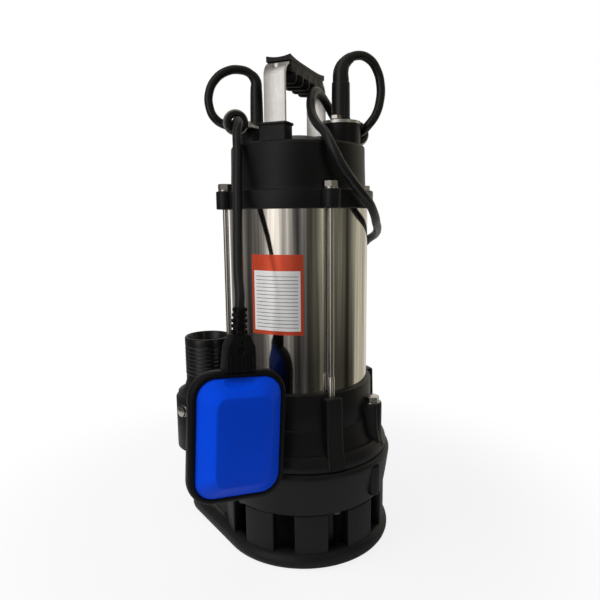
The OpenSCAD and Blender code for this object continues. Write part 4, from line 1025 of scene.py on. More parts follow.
    def lamp(self, name: str, at: Point, size: float, power: float) -> None:
        """Hangs a soft lamp that looks at the object's middle.

        Args:
            name: the lamp's name.
            at: where it hangs, in metres.
            size: side of its panel, in metres.
            power: its power in watts.
        """
        Bench.clear()
        bpy.ops.object.light_add(type="AREA")
        lamp = bpy.context.object
        lamp.name = name
        lamp.data.energy = power
        lamp.data.size = size
        lamp.visible_glossy = False
        look = (Vector(self.aim) - Vector(at)).to_track_quat("-Z", "Y")
        lamp.matrix_world = Matrix.Translation(Vector(at)) @ look.to_matrix().to_4x4()

    def build(self) -> None:
        """Sets up the whole studio."""
        bpy.context.scene.view_settings.view_transform = "Standard"
        self.camera()
        self.floor()
        self.world()
        for lamp in self.lamps:
            self.lamp(*lamp)
        LOG.info("studio ready")


@dataclass
class Cords:
    """The supply cord with its coil, and the float's cable in its fixed and its moving stretch.

    Attributes:
        cord_r: radius of the supply cord, and of the float's cable.
        supply: the supply cord from its sleeve to the coil.
        coil_at: centre of the coil on the floor.
        coil_r: radius of its outer turn.
        pitch: distance between turns.
        turns: turns in each layer.
        layers: layers of turns.
        lift: height of the lowest turns' middle.
        lead: the cord from the coil to the plug.
        loop: the float cable from its sleeve to the eye.
        drop: the float cable from the eye to the float.
        plug_at: where the plug's body starts.
        tie: width and height of the tie round the coil.
        tie_at: middle of that tie.
        band: thickness of the tie, and half of its breadth.
    """

    cord_r: float = 4.0
    coil_at: Point = (-68.0, 166.0)
    coil_r: float = 61.0
    pitch: float = 8.7
    turns: float = 3.125
    layers: int = 4
    lift: float = 5.6
    plug_at: Point = (-134.0, 100.0, 15.0)
    tie: tuple[float, float] = (42.935, 37.1)
    tie_at: Point = (-68.0, 213.4075, 18.75)
    band: tuple[float, float] = (1.2, 4.5)
    supply: Sequence[Point] = (
        (42, 0, 430.5), (42, 0, 436.5), (45, 5, 446), (53, 12, 452), (62, 20, 450), (68, 26, 441),
        (71, 28, 428), (71, 26, 414), (68, 22, 401), (62, 19, 392), (53.142, 24.872, 386.75),
        (42.858, 37.128, 386.75), (36, 44, 389), (28, 44, 396), (22, 38, 406), (19, 29, 415), (17, 16, 422),
        (17, 2, 423), (18, -11, 414), (22, -21, 401), (31, -32, 389), (42, -43, 380), (51, -50, 367),
        (59, -47, 351), (67, -37, 336), (74, -22, 323), (75, -5, 312), (72, 14, 304), (68, 34, 298),
        (61, 53, 292), (47, 70, 284), (31, 86, 268), (20, 100, 244), (14, 110, 210), (12, 116, 170),
        (12, 120, 125), (12, 121, 80), (10, 119, 48), (3, 114, 24), (-13, 108, 10), (-34, 105, 5.6),
        (-60, 105, 5.6))
    lead: Sequence[Point] = (
        (-76, 105, 31.7), (-84, 105, 31.7), (-93, 102, 28.2), (-102, 100, 21), (-110, 100, 16),
        (-116, 100, 15), (-120, 100, 15))
    loop: Sequence[Point] = (
        (-42, 0, 430.5), (-42, 0, 436), (-46, -4, 443), (-54, -10, 446), (-64, -17, 444), (-73, -23, 436),
        (-78, -26, 424), (-78, -26, 412), (-74, -24, 402), (-66, -19, 396), (-53.142, -24.872, 395.05),
        (-44.465, -35.213, 395.05))
    drop: Sequence[Point] = (
        (-41.636, -38.584, 395.05), (-38, -44, 393), (-34.5, -53.5, 384), (-30, -62, 363), (-25.5, -72, 337),
        (-21, -81, 314), (-14.5, -94, 287), (-9, -104, 263), (-4.887, -109.849, 248.576),
        (-4.967, -110.541, 240.607))

    def coil(self, per_turn: int = 20) -> list[Point]:
        """Points of the wound turns, layer on layer.

        Args:
            per_turn: points on each turn.

        Returns:
            The points from the first turn's start to the last one's end.
        """
        span = self.turns + 0.5
        inner = self.coil_r - self.pitch * self.turns
        points = []
        for i in range(1, round((span * self.layers - 0.5) * per_turn)):
            layer, u = divmod(i / per_turn, span)
            inward = layer % 2 == 0
            over = max(0.0, u - self.turns)
            u = min(u, self.turns)
            radius = self.coil_r - self.pitch * u if inward else inner + self.pitch * u
            radius += (-1 if inward else 1) * self.pitch * min(over, 0.5 - over)
            x, y = polar(radius, -90 - 360 * i / per_turn, self.coil_at)
            points.append((x, y, self.lift + self.pitch * (layer + over / 0.5)))
        return points

    def curve(self, name: str, points: Sequence[Point]) -> tuple[Piece, float]:
        """Draws a cord as one smooth open curve.

        Args:
            name: the cord's name.
            points: the points that it passes through.

        Returns:
            The cord and its length in metres.
        """
        Bench.clear()
        bpy.ops.curve.primitive_bezier_curve_add()
        obj = bpy.context.object
        obj.name = obj.data.name = name
        spline = obj.data.splines[0]
        spline.bezier_points.add(len(points) - 2)
        for knot, point in zip(spline.bezier_points, points):
            knot.co = Vector(point) * MM
            knot.handle_left_type = knot.handle_right_type = "AUTO"
        spline.resolution_u = 6
        obj.data.dimensions = "3D"
        obj.data.bevel_depth = self.cord_r * MM
        obj.data.bevel_resolution = 5
        obj.data.use_fill_caps = True
        return obj, spline.calc_length()

    def plug(self) -> Piece:
        """The moulded plug: a ringed tail, a fluted body and a rounded face.

        Returns:
            The plug.
        """
        profile = [(0, -14), (5.2, -14)]
        for k in range(5):
            z, r = -13.6 + 4.2 * k, 5.5 + 0.3 * k
            profile += [(r, z), (r + 0.3, z + 0.5), (r + 0.3, z + 2.4), (r - 0.4, z + 2.9), (r - 0.4, z + 3.8)]
        profile += [(7.0, 7.8), (7.6, 9), (10.5, 12.2), (13.2, 15.2), (14.5, 17.4), (15, 19.4), (15, 31),
                    (14.7, 32.4), (13.9, 33.5), (12.6, 34), (12.2, 34), (11.9, 33.3), (11.2, 33.3), (10.9, 34),
                    (0, 34)]
        body = Bench.lathe("moulded_plug", profile, steps=96)
        flute = Bench.lathe("flute", [(0, 17.5), (1, 17.9), (1.5, 19), (1.5, 28.5), (1, 29.6), (0, 30)],
                            (15.7, 0, 0), 24)
        flutes = Bench.repeat(flute, [turned(20 * k) for k in range(18)])
        Bench.cut(body, Cut.TAKE, Bench.join("flutes", flutes))
        Bench.place(body, moved(*self.plug_at) @ turned(-90, "Y"))
        return fit(Bench.shade(body, 34), CABLE, "power_plug")

    def strap(self) -> Piece:
        """The tie round the coil, with its buckle and its loose end.

        Returns:
            The tie.
        """
        (across, tall), (thick, half) = self.tie, self.band
        band = Bench.prism("coil_strap", round_rect(across, tall, 4.4, 8), -half, half)
        inside = round_rect(across - 2 * thick, tall - 2 * thick, 3.2, 8)
        Bench.cut(band, Cut.TAKE, Bench.prism("hollow", inside, -9, 9))
        Bench.ease(band, 0.25, 60, 2)
        top = tall / 2
        lump = [(-5.5, top - 0.9), (5.5, top - 0.9), (5.5, top + 2.6), (4, top + 3.8), (-4, top + 3.8),
                (-5.5, top + 2.6)]
        buckle = Bench.ease(Bench.prism("buckle", lump, -6, 6), 0.6, 30, 3)
        line = [(-3, 2), (-9, 2.2), (-14, 3.4), (-18.5, 6), (-22, 10), (-24.5, 15), (-25.8, 20)]
        end = [(u - 0.25, top + v + 0.55) for u, v in line] + [(u + 0.25, top + v - 0.55) for u, v in line[::-1]]
        loose = Bench.ease(Bench.prism("loose_end", end, -half, half), 0.2, 60, 2)
        tie = Bench.join("coil_strap", [band, buckle, loose])
        x, y, z = (v * MM for v in self.tie_at)
        Bench.place(tie, Matrix(((0, 0, 1, x), (1, 0, 0, y), (0, 1, 0, z), (0, 0, 0, 1))))
        return fit(Bench.shade(tie, 30), TIE, "coil_tie")

    def build(self) -> None:
        cord, length = self.curve("supply_cord", [*self.supply, *self.coil(), *self.lead])
        fit(cord, CABLE, "power_cable", "power_cable_coil", "plug_lead")
        self.plug()
        self.strap()
        LOG.info("supply cord %.3f m", length)
        loop, length = self.curve("float_cable_fixed", self.loop)
        fit(loop, CABLE, "float_cable_loop")
        drop, length = self.curve("float_cable_hanging", self.drop)
        fit(drop, CABLE, "float_cable_drop", body=Body.FLOAT)


@dataclass
class Foot:
    """The strainer foot: a teardrop plate with a rolled rim, pillars and screw posts.

    Attributes:
        big: centre of the round end.
        big_r: its radius at the rim's outside.
        tip: centre of the narrow end.
        tip_r: its radius.
        tangent: where the round end runs into the straight sides, in degrees.
        rim_r: radius of the rolled rim.
        rim_z: height of the rim's middle.
        plate: thickness of the plate.
        top: height of the pillars' tops.
        pillar: inner and outer radius of the pillars.
        half: half of a pillar's angle, in degrees.
        first: angle of the first pillar.
        count: number of pillars.
        post: radius of a screw post, and of the circle they stand on.
        bore: radius and depth of the holes for the screw heads.
    """

    big: Point = DRUM
    big_r: float = 84.0
    tip: Point = (-92.0, 0.0)
    tip_r: float = 33.0
    tangent: float = 122.47
    rim_r: float = 8.2
    rim_z: float = 6.6
    plate: float = 8.0
    top: float = 50.0
    pillar: tuple[float, float] = (70.0, 80.0)
    half: float = 11.0
    first: float = -63.0
    count: int = 10
    post: tuple[float, float] = (7.0, 59.0)
    bore: tuple[float, float] = (5.3, 4.0)

    def outline(self, inset: float, z: float) -> list[Point]:
        """The teardrop at a height, moved in from the rim's outside.

        Args:
            inset: how far it is moved in.
            z: the height.

        Returns:
            The outline's points.
        """
        t = self.tangent
        flat = arc(self.big_r - inset, -t, t, 80, self.big) + arc(self.tip_r - inset, t, 360 - t, 36, self.tip)
        return [(x, y, z) for x, y in flat]

    def tray(self) -> Piece:
        """The plate with its rolled rim.

        Returns:
            The plate, with the holes for the screw heads.
        """
        rolled = []
        for i in range(15):
            a = math.radians(-58 + 220 * i / 14)
            rolled.append((self.rim_r - self.rim_r * math.cos(a), max(0.0, self.rim_z + self.rim_r * math.sin(a))))
        rows = [(20, 0.6), (13, 0.6), (12.2, 0.0), *rolled, (17.2, self.plate), (22, self.plate)]
        tray = Bench.loft("strainer_foot", [self.outline(inset, z) for inset, z in rows])
        radius, depth = self.bore
        holes = [Bench.pin("bore", radius, -1, depth, polar(self.post[1], a, self.big), 40) for a in QUARTERS]
        return Bench.cut(tray, Cut.TAKE, *holes)

    def pillars(self) -> list[Piece]:
        """The strainer's pillars, the first one modelled and the others turned copies of it.

        Returns:
            The pillars.
        """
        low, high = self.pillar
        h = self.half
        outline = arc(high, -h, h, 14) + arc(low, h, -h, 14)
        first = Bench.prism("pillar", outline, self.plate - 1, self.top)
        Bench.ease(first, 1.1, 60, 3)
        centre = moved(*self.big, 0)
        turns = [centre @ turned(self.first + 360 / self.count * i) for i in range(self.count)]
        return Bench.repeat(first, turns)

    def posts(self) -> list[Piece]:
        """Round screw posts with a fillet at their feet.

        Returns:
            The posts.
        """
        (r, circle), low, high = self.post, self.plate, self.top
        profile = [(0, low - 1), (r + 2.2, low - 1), (r + 2.2, low), (r + 1, low + 0.5), (r + 0.3, low + 1.6),
                   (r, low + 3), (r, high - 0.8), (r - 0.8, high), (0, high)]
        return [Bench.lathe("post", profile, (*polar(circle, a, self.big), 0), 48) for a in QUARTERS]

    def build(self) -> None:
        """Makes the foot as one moulding."""
        foot = Bench.join("strainer_foot", [self.tray(), *self.pillars(), *self.posts()])
        fit(Bench.shade(foot, 38), BLACK, "foot_plate")


@dataclass
class Volute:
    """The casting round the impeller: drum, elbow, upright socket and pegs.

    Attributes:
        centre: the drum's axis.
        drum: closed profile of the drum as (radius, height) pairs.
        outlet: distance of the socket's axis from the shaft.
        elbow: outer radius, bore radius and height of the elbow.
        socket: outer radius, lower end and upper end of the socket.
        thread: radius of the threaded mouth, and the height where it starts.
        pegs: angles of the pegs on the drum.
        peg: radius, lower end and upper end of a peg.
        peg_at: circle of the pegs, and of the holes in their tops.
        run: where the elbow's level run ends, inside the drum.
    """

    centre: Point = DRUM
    drum: Sequence[tuple[float, float]] = (
        (79, 50), (79.3, 50), (79.8, 50.5), (80.1, 51.6), (81.0, 57), (82.0, 63), (82.9, 69), (83.7, 75), (84.4, 80),
        (84.9, 84), (84.9, 86), (84.3, 87.8), (83.2, 88.9), (81.8, 89.4), (79.2, 89.5), (79.2, 93), (60, 93),
        (60, 80), (70, 80), (70, 57), (79, 57))
    outlet: float = OUTLET
    elbow: Point = (27.0, 19.0, ELBOW_Z)
    socket: Point = (SOCKET_R, 69.0, 124.5)
    thread: Point = (29.5, 100.5)
    pegs: Sequence[float] = (-16.0, 104.0, 224.0)
    peg: Point = (6.0, 56.0, 83.6)
    peg_at: tuple[float, float] = (82.0, 84.5)
    run: float = -64.0

    def bend(self, radius: float, name: str) -> Piece:
        """The elbow's round end and level run, as one closed form.

        Args:
            radius: its radius.
            name: the piece's name.

        Returns:
            The closed form.
        """
        loops = []
        for i in range(1, 13):
            a = math.radians(90 - 7.5 * i)
            loops.append((-self.outlet - radius * math.sin(a), radius * math.cos(a)))
        loops.append((self.run, radius))
        return Bench.loft(name, [hoop(x, r, self.elbow[2]) for x, r in loops])

    def build(self) -> None:
        """Makes the casting with its bores."""
        casing = Bench.lathe("volute", list(self.drum), (*self.centre, 0), 192)
        r, low, high = self.socket
        socket = Bench.lathe("socket", [(0, low), (r - 1, low), (r, low + 1), (r, high - 1.6), (r - 0.5, high - 0.5),
                                        (r - 1.6, high), (0, high)], (-self.outlet, 0, 0), 96)
        er, bore, z = self.elbow
        Bench.cut(casing, Cut.ADD, self.bend(er, "bend"), socket)
        pr, p0, p1 = self.peg
        for angle in self.pegs:
            x, y = polar(self.peg_at[0], angle, self.centre)
            hole_at = polar(self.peg_at[1], angle, self.centre)
            profile = [(0, p0), (pr * 0.75, p0), (pr, p0 + 3), (pr, p1 - 0.8), (pr - 0.8, p1), (0, p1)]
            peg = Bench.lathe("peg", profile, (x, y, 0), 40)
            hole = Bench.pin("peg_hole", 1.5, p1 - 6, p1 + 1, hole_at, 24)
            Bench.cut(casing, Cut.ADD, Bench.cut(peg, Cut.TAKE, hole))
        floor = Bench.prism("under", round_rect(420, 300, 10, 4), 20, 50)
        mouth = Bench.lathe("mouth", [(0, z), (bore, z), (bore, self.thread[1]), (self.thread[0], self.thread[1]),
                                      (self.thread[0], high + 1), (0, high + 1)], (-self.outlet, 0, 0), 96)
        Bench.cut(casing, Cut.TAKE, floor, self.bend(bore, "way"), mouth)
        fit(Bench.shade(casing, 30), BLACK, "volute_casing")


@dataclass
class OilHousing:
    """The casting between volute and barrel, with its rod and bolt bosses.

    Attributes:
        profile: closed profile as (radius, height) pairs.
        flange: closed profile of the flange round the drum's axis.
        drum: the drum's axis.
        rods: radius of the rods' circle.
        rod_boss: radius, lower end, upper end, flare and height of the flare of a rod boss.
        shin: height, reach and width of the block in front of a rod boss, level by level.
        lug: the same of the block round a bolt boss.
        block_back: radius at which the blocks start, inside the wall.
        block_edge: rounding of their upright edges.
        bolts: places of the bolt bosses.
        bolt_boss: the same five sizes of a bolt boss.
        bolt_angles: bearings of the blocks at those bolts, in degrees.
        rod_way: radius, lower end and upper end of the holes that the rods stand in.
        seat: radius and height of the barrel's seat.
        outlet: distance of the socket's axis from the shaft.
        room: radius left free round the socket, and round the elbow.
        room_end: how far in the room for the elbow reaches.
    """

    profile: Sequence[tuple[float, float]] = (
        (14, 94), (78.3, 94), (77.9, 98.5), (77, 102.4), (75.6, 105.4), (74.2, 108), (73.2, 110.6), (72.5, 113.6),
        (71.9, 117), (71.4, 120.6), (71.1, 122.4), (70.6, 123.2), (69.8, 123.6), (69.3, 124.3), (69.3, 154.6),
        (68.9, 155.6), (68.0, 156), (59, 156), (59, 139), (50, 139), (50, 102),
        (17, 102), (17, 96), (14, 96))
    flange: Sequence[tuple[float, float]] = (
        (60, 94.06), (79.4, 94.06), (79.4, 89.7), (81, 89.7), (81.6, 90.4), (81.8, 92.4), (81.6, 95), (81, 97.4),
        (80, 99.6), (78.6, 101.6), (76.8, 103.2), (60, 104))
    drum: Point = DRUM
    rods: float = ROD_CIRCLE
    rod_boss: Point = (7.4, 97.0, 154.0, 6.0, 24.0)
    shin: Sequence[Point] = (
        (90.4, 84.6, 17.0), (91.2, 85.2, 18.0), (94, 84.6, 17.6), (98, 83.4, 17.0), (104, 82, 16.4), (112, 80.6, 16),
        (126, 79.6, 15.6), (153, 79, 15.2), (154, 78.2, 13.8))
    lug: Sequence[Point] = (
        (100, 83.4, 21.0), (104, 82.6, 20.6), (108, 81.6, 20), (114, 80.7, 19.6), (135.2, 80.2, 19.2),
        (136, 79.4, 17.8))
    block_back: float = 64.0
    block_edge: float = 2.4
    bolts: Sequence[tuple[float, float]] = BOLTS
    bolt_boss: Point = (9.7, 95.0, 136.0, 3.0, 16.0)
    outlet: float = OUTLET
    room: Point = (35.8, 27.3)
    room_end: float = -69.5
    bolt_angles: Sequence[float] = (0, 90, -90)
    rod_way: Point = (2.6, 120.0, 160.0)
    seat: tuple[float, float] = (65.1, 149.0)

    @staticmethod
    def boss(at: Point, sizes: Point, name: str) -> Piece:
        """A round boss that widens towards its foot in a hollow curve.

        Args:
            at: its axis.
            sizes: radius, lower end, upper end, flare and height of the flare.
            name: the piece's name.

        Returns:
            The closed boss.
        """
        r, low, high, flare, rise = sizes
        curve = [(r + flare * (1 - k / 8) ** 2, low + rise * k / 8) for k in range(9)]
        return Bench.lathe(name, [(0, low), *curve, (r, high - 1), (r - 0.3, high - 0.3), (r - 1, high), (0, high)],
                           (*at, 0), 56)

    def blocks(self, levels: Sequence[Point], angles: Sequence[float]) -> list[Piece]:
        """Blocks with rounded edges that stand out from the casting's wall.

        Args:
            levels: height, reach and width, level by level.
            angles: where round the shaft they stand, in degrees.

        Returns:
            One closed block per angle.
        """
        back, edge = self.block_back, self.block_edge
        rows = [[(x + (back + reach) / 2, y, z) for x, y in round_rect(reach - back, wide, edge, 5)]
                for z, reach, wide in levels]
        block = Bench.loft("block", rows)
        return Bench.repeat(block, [turned(a) for a in angles])

    def build(self) -> None:
        """Makes the casting."""
        housing = Bench.lathe("oil_chamber", list(self.profile), steps=192)
        ring = Bench.lathe("ring", list(self.flange), (*self.drum, 0), 192)
        rods = [self.boss(polar(self.rods, a), self.rod_boss, "rod_boss") for a in QUARTERS]
        bolts = [self.boss(at, self.bolt_boss, "bolt_boss") for at in self.bolts]
        blocks = self.blocks(self.shin, QUARTERS) + self.blocks(self.lug, self.bolt_angles)
        holes = [Bench.pin("rod_way", *self.rod_way, polar(self.rods, a)) for a in QUARTERS]
        Bench.cut(housing, Cut.ADD, ring, *rods, *bolts, *blocks)
        Bench.cut(housing, Cut.TAKE, *holes)
        wide, narrow = self.room
        upright = Bench.pin("room", wide, 60, 200, (-self.outlet, 0), 96)
        rows = [hoop(x, narrow, ELBOW_Z) for x in (-130.0, self.room_end)]
        barrel = Bench.pin("seat", *self.seat, 170, sides=192)
        Bench.cut(housing, Cut.TAKE, upright, Bench.loft("level", rows), barrel)
        fit(Bench.shade(housing, 30), BLACK, "oil_housing")


@dataclass
class Fasteners:
    """Hex bolts, nuts and the tie rods.

    Attributes:
        rod_circle: radius of the circle of tie rods.
        rod: radius, lower end and upper end of a rod.
        ferrule: radius, lower end and upper end of the thicker sleeve on each rod.
        pitch: pitch of the rods' thread.
        thread: height where that thread starts.
        nut: distance across flats, lower face, upper face and bore of a nut.
        nut_turns: how far each nut is turned, in degrees.
        stagger: how much further each bolt of a kind is turned, in radians.
        lock: bearing and height of the lock screw on the outlet socket.
    """

    rod_circle: float = ROD_CIRCLE
    rod: Point = (2.5, 126.0, 339.7)
    ferrule: Point = (3.1, 153.9, 172.0)
    pitch: float = 1.0
    thread: float = 322.0
    nut: Point = (10.6, 334.4, 339.5, 2.45)
    nut_turns: Sequence[float] = (12, 40, -8, 22)
    stagger: float = 0.5
    lock: tuple[float, float] = (-108.0, 113.5)

    @staticmethod
    def hexagon(name: str, flats: float, low: float, high: float, bore: float = 0.0, both: bool = False) -> Piece:
        """A hexagon with turned corners.

        Args:
            name: the piece's name.
            flats: distance across its flats.
            low: height of its lower face.
            high: height of its upper face.
            bore: radius of a hole through it, or 0.
            both: whether the lower corners are turned too.

        Returns:
            The closed piece, on the Z axis.
        """
        corner = flats / math.sqrt(3)
        drop = (corner - flats / 2) * 0.6
        body = Bench.prism(name, [polar(corner, 60 * k + 30) for k in range(6)], low, high)
        foot = [(flats / 2, low), (corner + 0.1, low + drop)] if both else [(corner + 0.1, low)]
        cone = Bench.lathe("cone", [(0, low), *foot, (corner + 0.1, high - drop), (flats / 2 - 0.2, high), (0, high)],
                           steps=72)
        Bench.cut(body, Cut.SHARE, cone)
        if bore:
            Bench.cut(body, Cut.TAKE, Bench.pin("bore", bore, low - 1, high + 1))
        return body

    def bolt(self, name: str, flats: float, head: float, shank: Point, washer: float) -> Piece:
        """A hex bolt standing on its washer face at height 0.

        Args:
            name: the piece's name.
            flats: distance across its flats.
            head: height of its head.
            shank: radius and length of its shank.
            washer: radius of the washer under its head.

        Returns:
            The bolt, on the Z axis.
        """
        hexagon = self.hexagon("head", flats, 0.9, head)
        disc = Bench.lathe("disc", [(0, -0.05), (washer - 0.3, -0.05), (washer, 0.25), (washer, 0.7),
                                    (washer - 0.3, 1.0), (0, 1.0)], steps=48)
        body = Bench.lathe("shank", [(0, 0.5), (shank[0], 0.5), (shank[0], 0.5 - shank[1]), (0, -shank[1])], steps=32)
        return Bench.join(name, [hexagon, disc, body])

    def rods(self) -> None:
        """The four tie rods, threaded at the top and with a ferrule at the foot."""
        r, low, high = self.rod
        fr, f0, f1 = self.ferrule
        thread = []
        z = self.thread
        while z < high - 1.2:
            thread += [(r - 0.45, z), (r, z + 0.4 * self.pitch), (r, z + 0.6 * self.pitch)]
            z += self.pitch
        profile = [(0, low), (r, low), (r, f0), (fr, f0 + 0.02), (fr, f1 - 0.6), (fr - 0.5, f1), (r, f1 + 0.1),
                   (r, self.thread - 0.4), *thread, (r - 0.6, high - 0.5), (r - 1.2, high), (0, high)]
        first = Bench.lathe("tie_rod", profile, (self.rod_circle, 0, 0), 40)
        rods = Bench.join("tie_rods_threaded", Bench.repeat(first, [turned(a) for a in QUARTERS]))
        fit(Bench.shade(rods, 40), FASTENER, "tie_rods")

    def nuts(self) -> None:
        """The nuts on the tie rods."""
        first = self.hexagon("nut", *self.nut, both=True)
        spots = [moved(*polar(self.rod_circle, a), 0) @ turned(t) for a, t in zip(QUARTERS, self.nut_turns)]
        nuts = Bench.join("rod_nuts", Bench.repeat(first, spots))
        fit(Bench.shade(nuts, 25), FASTENER, "tie_rod_nuts")

    def screws(self) -> None:
        """The casing bolts, the gland screws and the screw that locks the hose tail."""
        for name, node, spots, sizes in (
                ("casing_hex_bolts", "casing_bolts", [(*at, 136.0) for at in BOLTS],
                 (13.0, 5.9, (3.9, 52.0), 8.2)),
                ("gland_hex_screws", "gland_screws",
                 [(s * GLAND[0], k * GLAND[1], 393.5) for s in SIDES for k in SIDES],
                 (8.0, 3.9, (2.4, 13.0), 4.9))):
            places = [moved(*at) @ Matrix.Rotation(self.stagger * i, 4, "Z") for i, at in enumerate(spots)]
            screws = Bench.join(name, Bench.repeat(self.bolt(name, *sizes), places))
            fit(Bench.shade(screws, 25), FASTENER, node)
        lock = self.bolt("tail_lock_screw", 10.0, 4.2, (2.95, 9.0), 6.2)
        bearing, z = self.lock
        x, y = polar(SOCKET_R, bearing, (-OUTLET, 0))
        Bench.place(lock, moved(x, y, z) @ turned(bearing) @ turned(90, "Y"))
        fit(Bench.shade(lock, 25), FASTENER, "outlet_lock_screw")

    def build(self) -> None:
        """Makes them all."""
        self.rods()
        self.nuts()
        self.screws()


@dataclass
class Barrel:
    """The polished motor barrel and the blank sticker on it.

    Attributes:
        radius: outer and inner radius.
        ends: lower and upper end.
        label: left and right angle, and lower and upper height, of the sticker.
        lift: how far the sticker stands off the barrel.
        field: left, right, lower and upper edge of the silver field, as shares of the sticker.
        lines: the same of the ruled lines.
        ruling: how many lines fit on the sticker's height, and how much of each is ink.
        silver: the field's colour, from and to.
        red: the border's colour, from and to.
        ink: colour of the lines.
    """

    radius: tuple[float, float] = (65.0, 63.4)
    ends: tuple[float, float] = (150.0, 323.0)
    label: Point = (-106.5, -64.1, 208.9, 278.5)
    lift: float = 0.12
    field: Point = (0.055, 0.945, 0.05, 0.8)
    lines: Point = (0.1, 0.9, 0.09, 0.77)
    ruling: tuple[float, float] = (22.0, 0.16)
    silver: tuple[Colour, Colour] = ((0.92, 0.91, 0.9), (0.98, 0.97, 0.96))
    red: tuple[Colour, Colour] = ((0.74, 0.085, 0.035), (0.84, 0.11, 0.048))
    ink: Colour = (0.12, 0.12, 0.13)

    def sticker(self) -> bpy.types.Material:
        """A plain label: a red border and head band round a silver field with ruled lines.

        Returns:
            The label's material.
        """
        material, tree, shader = Paint.start("blank_sticker")
        sheet = tree.nodes.new("ShaderNodeSeparateXYZ")
        tree.links.new(tree.nodes.new("ShaderNodeUVMap").outputs["UV"], sheet.inputs[0])
        place = tree.nodes.new("ShaderNodeTexCoord").outputs["Object"]
        u, v = sheet.outputs["X"], sheet.outputs["Y"]
        calc = Effects.math

        def inside(limits: Point) -> bpy.types.NodeSocket:
            """A mask of a field of the sticker.

            Args:
                limits: the field's left, right, lower and upper edge.

            Returns:
                1 inside the field and 0 outside.
            """
            left, right, low, high = limits
            across = calc(tree, "MULTIPLY", calc(tree, "GREATER_THAN", u, left), calc(tree, "LESS_THAN", u, right))
            upward = calc(tree, "MULTIPLY", calc(tree, "GREATER_THAN", v, low), calc(tree, "LESS_THAN", v, high))
            return calc(tree, "MULTIPLY", across, upward)

        field = inside(self.field)
        count, share = self.ruling
        rows = calc(tree, "LESS_THAN", calc(tree, "FRACT", calc(tree, "MULTIPLY", v, count)), share)
        ruled = calc(tree, "MULTIPLY", rows, inside(self.lines))
        grain = Paint.use(tree, Effects.grain(), Vector=place, Scale=900.0)
        silver = Paint.mix(tree, grain.outputs["Wander"], *self.silver)
        red = Paint.mix(tree, grain.outputs["Wander"], *self.red)
        lined = Paint.mix(tree, ruled, silver, self.ink)
        tree.links.new(Paint.mix(tree, field, red, lined), shader.inputs["Base Color"])
        foil = calc(tree, "MULTIPLY", field, calc(tree, "SUBTRACT", 1.0, ruled))
        tree.links.new(calc(tree, "MULTIPLY_ADD", foil, -0.25, 0.5), shader.inputs["Metallic"])
        tree.links.new(calc(tree, "MULTIPLY_ADD", grain.outputs["Wander"], 0.1, 0.18), shader.inputs["Roughness"])
        Paint.bump(tree, shader, grain.outputs["Height"], 0.05, 0.0002)
        return material

    def stick(self) -> None:
        """Bends a sheet round the barrel as the sticker."""
        left, right, low, high = self.label
        columns, rows = 40, 24
        Bench.clear()
        bpy.ops.mesh.primitive_grid_add(x_subdivisions=columns, y_subdivisions=rows)
        radius = self.radius[0] + self.lift
        spots = [(*polar(radius, left + (right - left) * i / columns), low + (high - low) * k / rows)
                 for k in range(rows + 1) for i in range(columns + 1)]
        sheet = Bench.shape("blank_sticker", spots)
        bpy.ops.mesh.normals_make_consistent(inside=False)
        bpy.ops.object.mode_set(mode="OBJECT")
        Bench.change(sheet, "SOLIDIFY", thickness=(self.lift - 0.02) * MM, offset=-1.0)
        Bench.shade(sheet, 40)
        sheet.data.materials.append(self.sticker())
        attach(sheet, Body.PUMP.value)
        LOG.info("sticker on the barrel")

    def build(self) -> None:
        """Makes the tube with eased ends, and the sticker."""
        (ro, ri), (low, high) = self.radius, self.ends
        tube = Bench.lathe("steel_barrel", [(ri, low), (ro - 0.4, low), (ro, low + 0.4), (ro, 200), (ro, 260),
                                            (ro, high - 0.4), (ro - 0.4, high), (ri, high)], steps=256)
        fit(Bench.shade(tube, 35), POLISHED, "motor_barrel")
        self.stick()


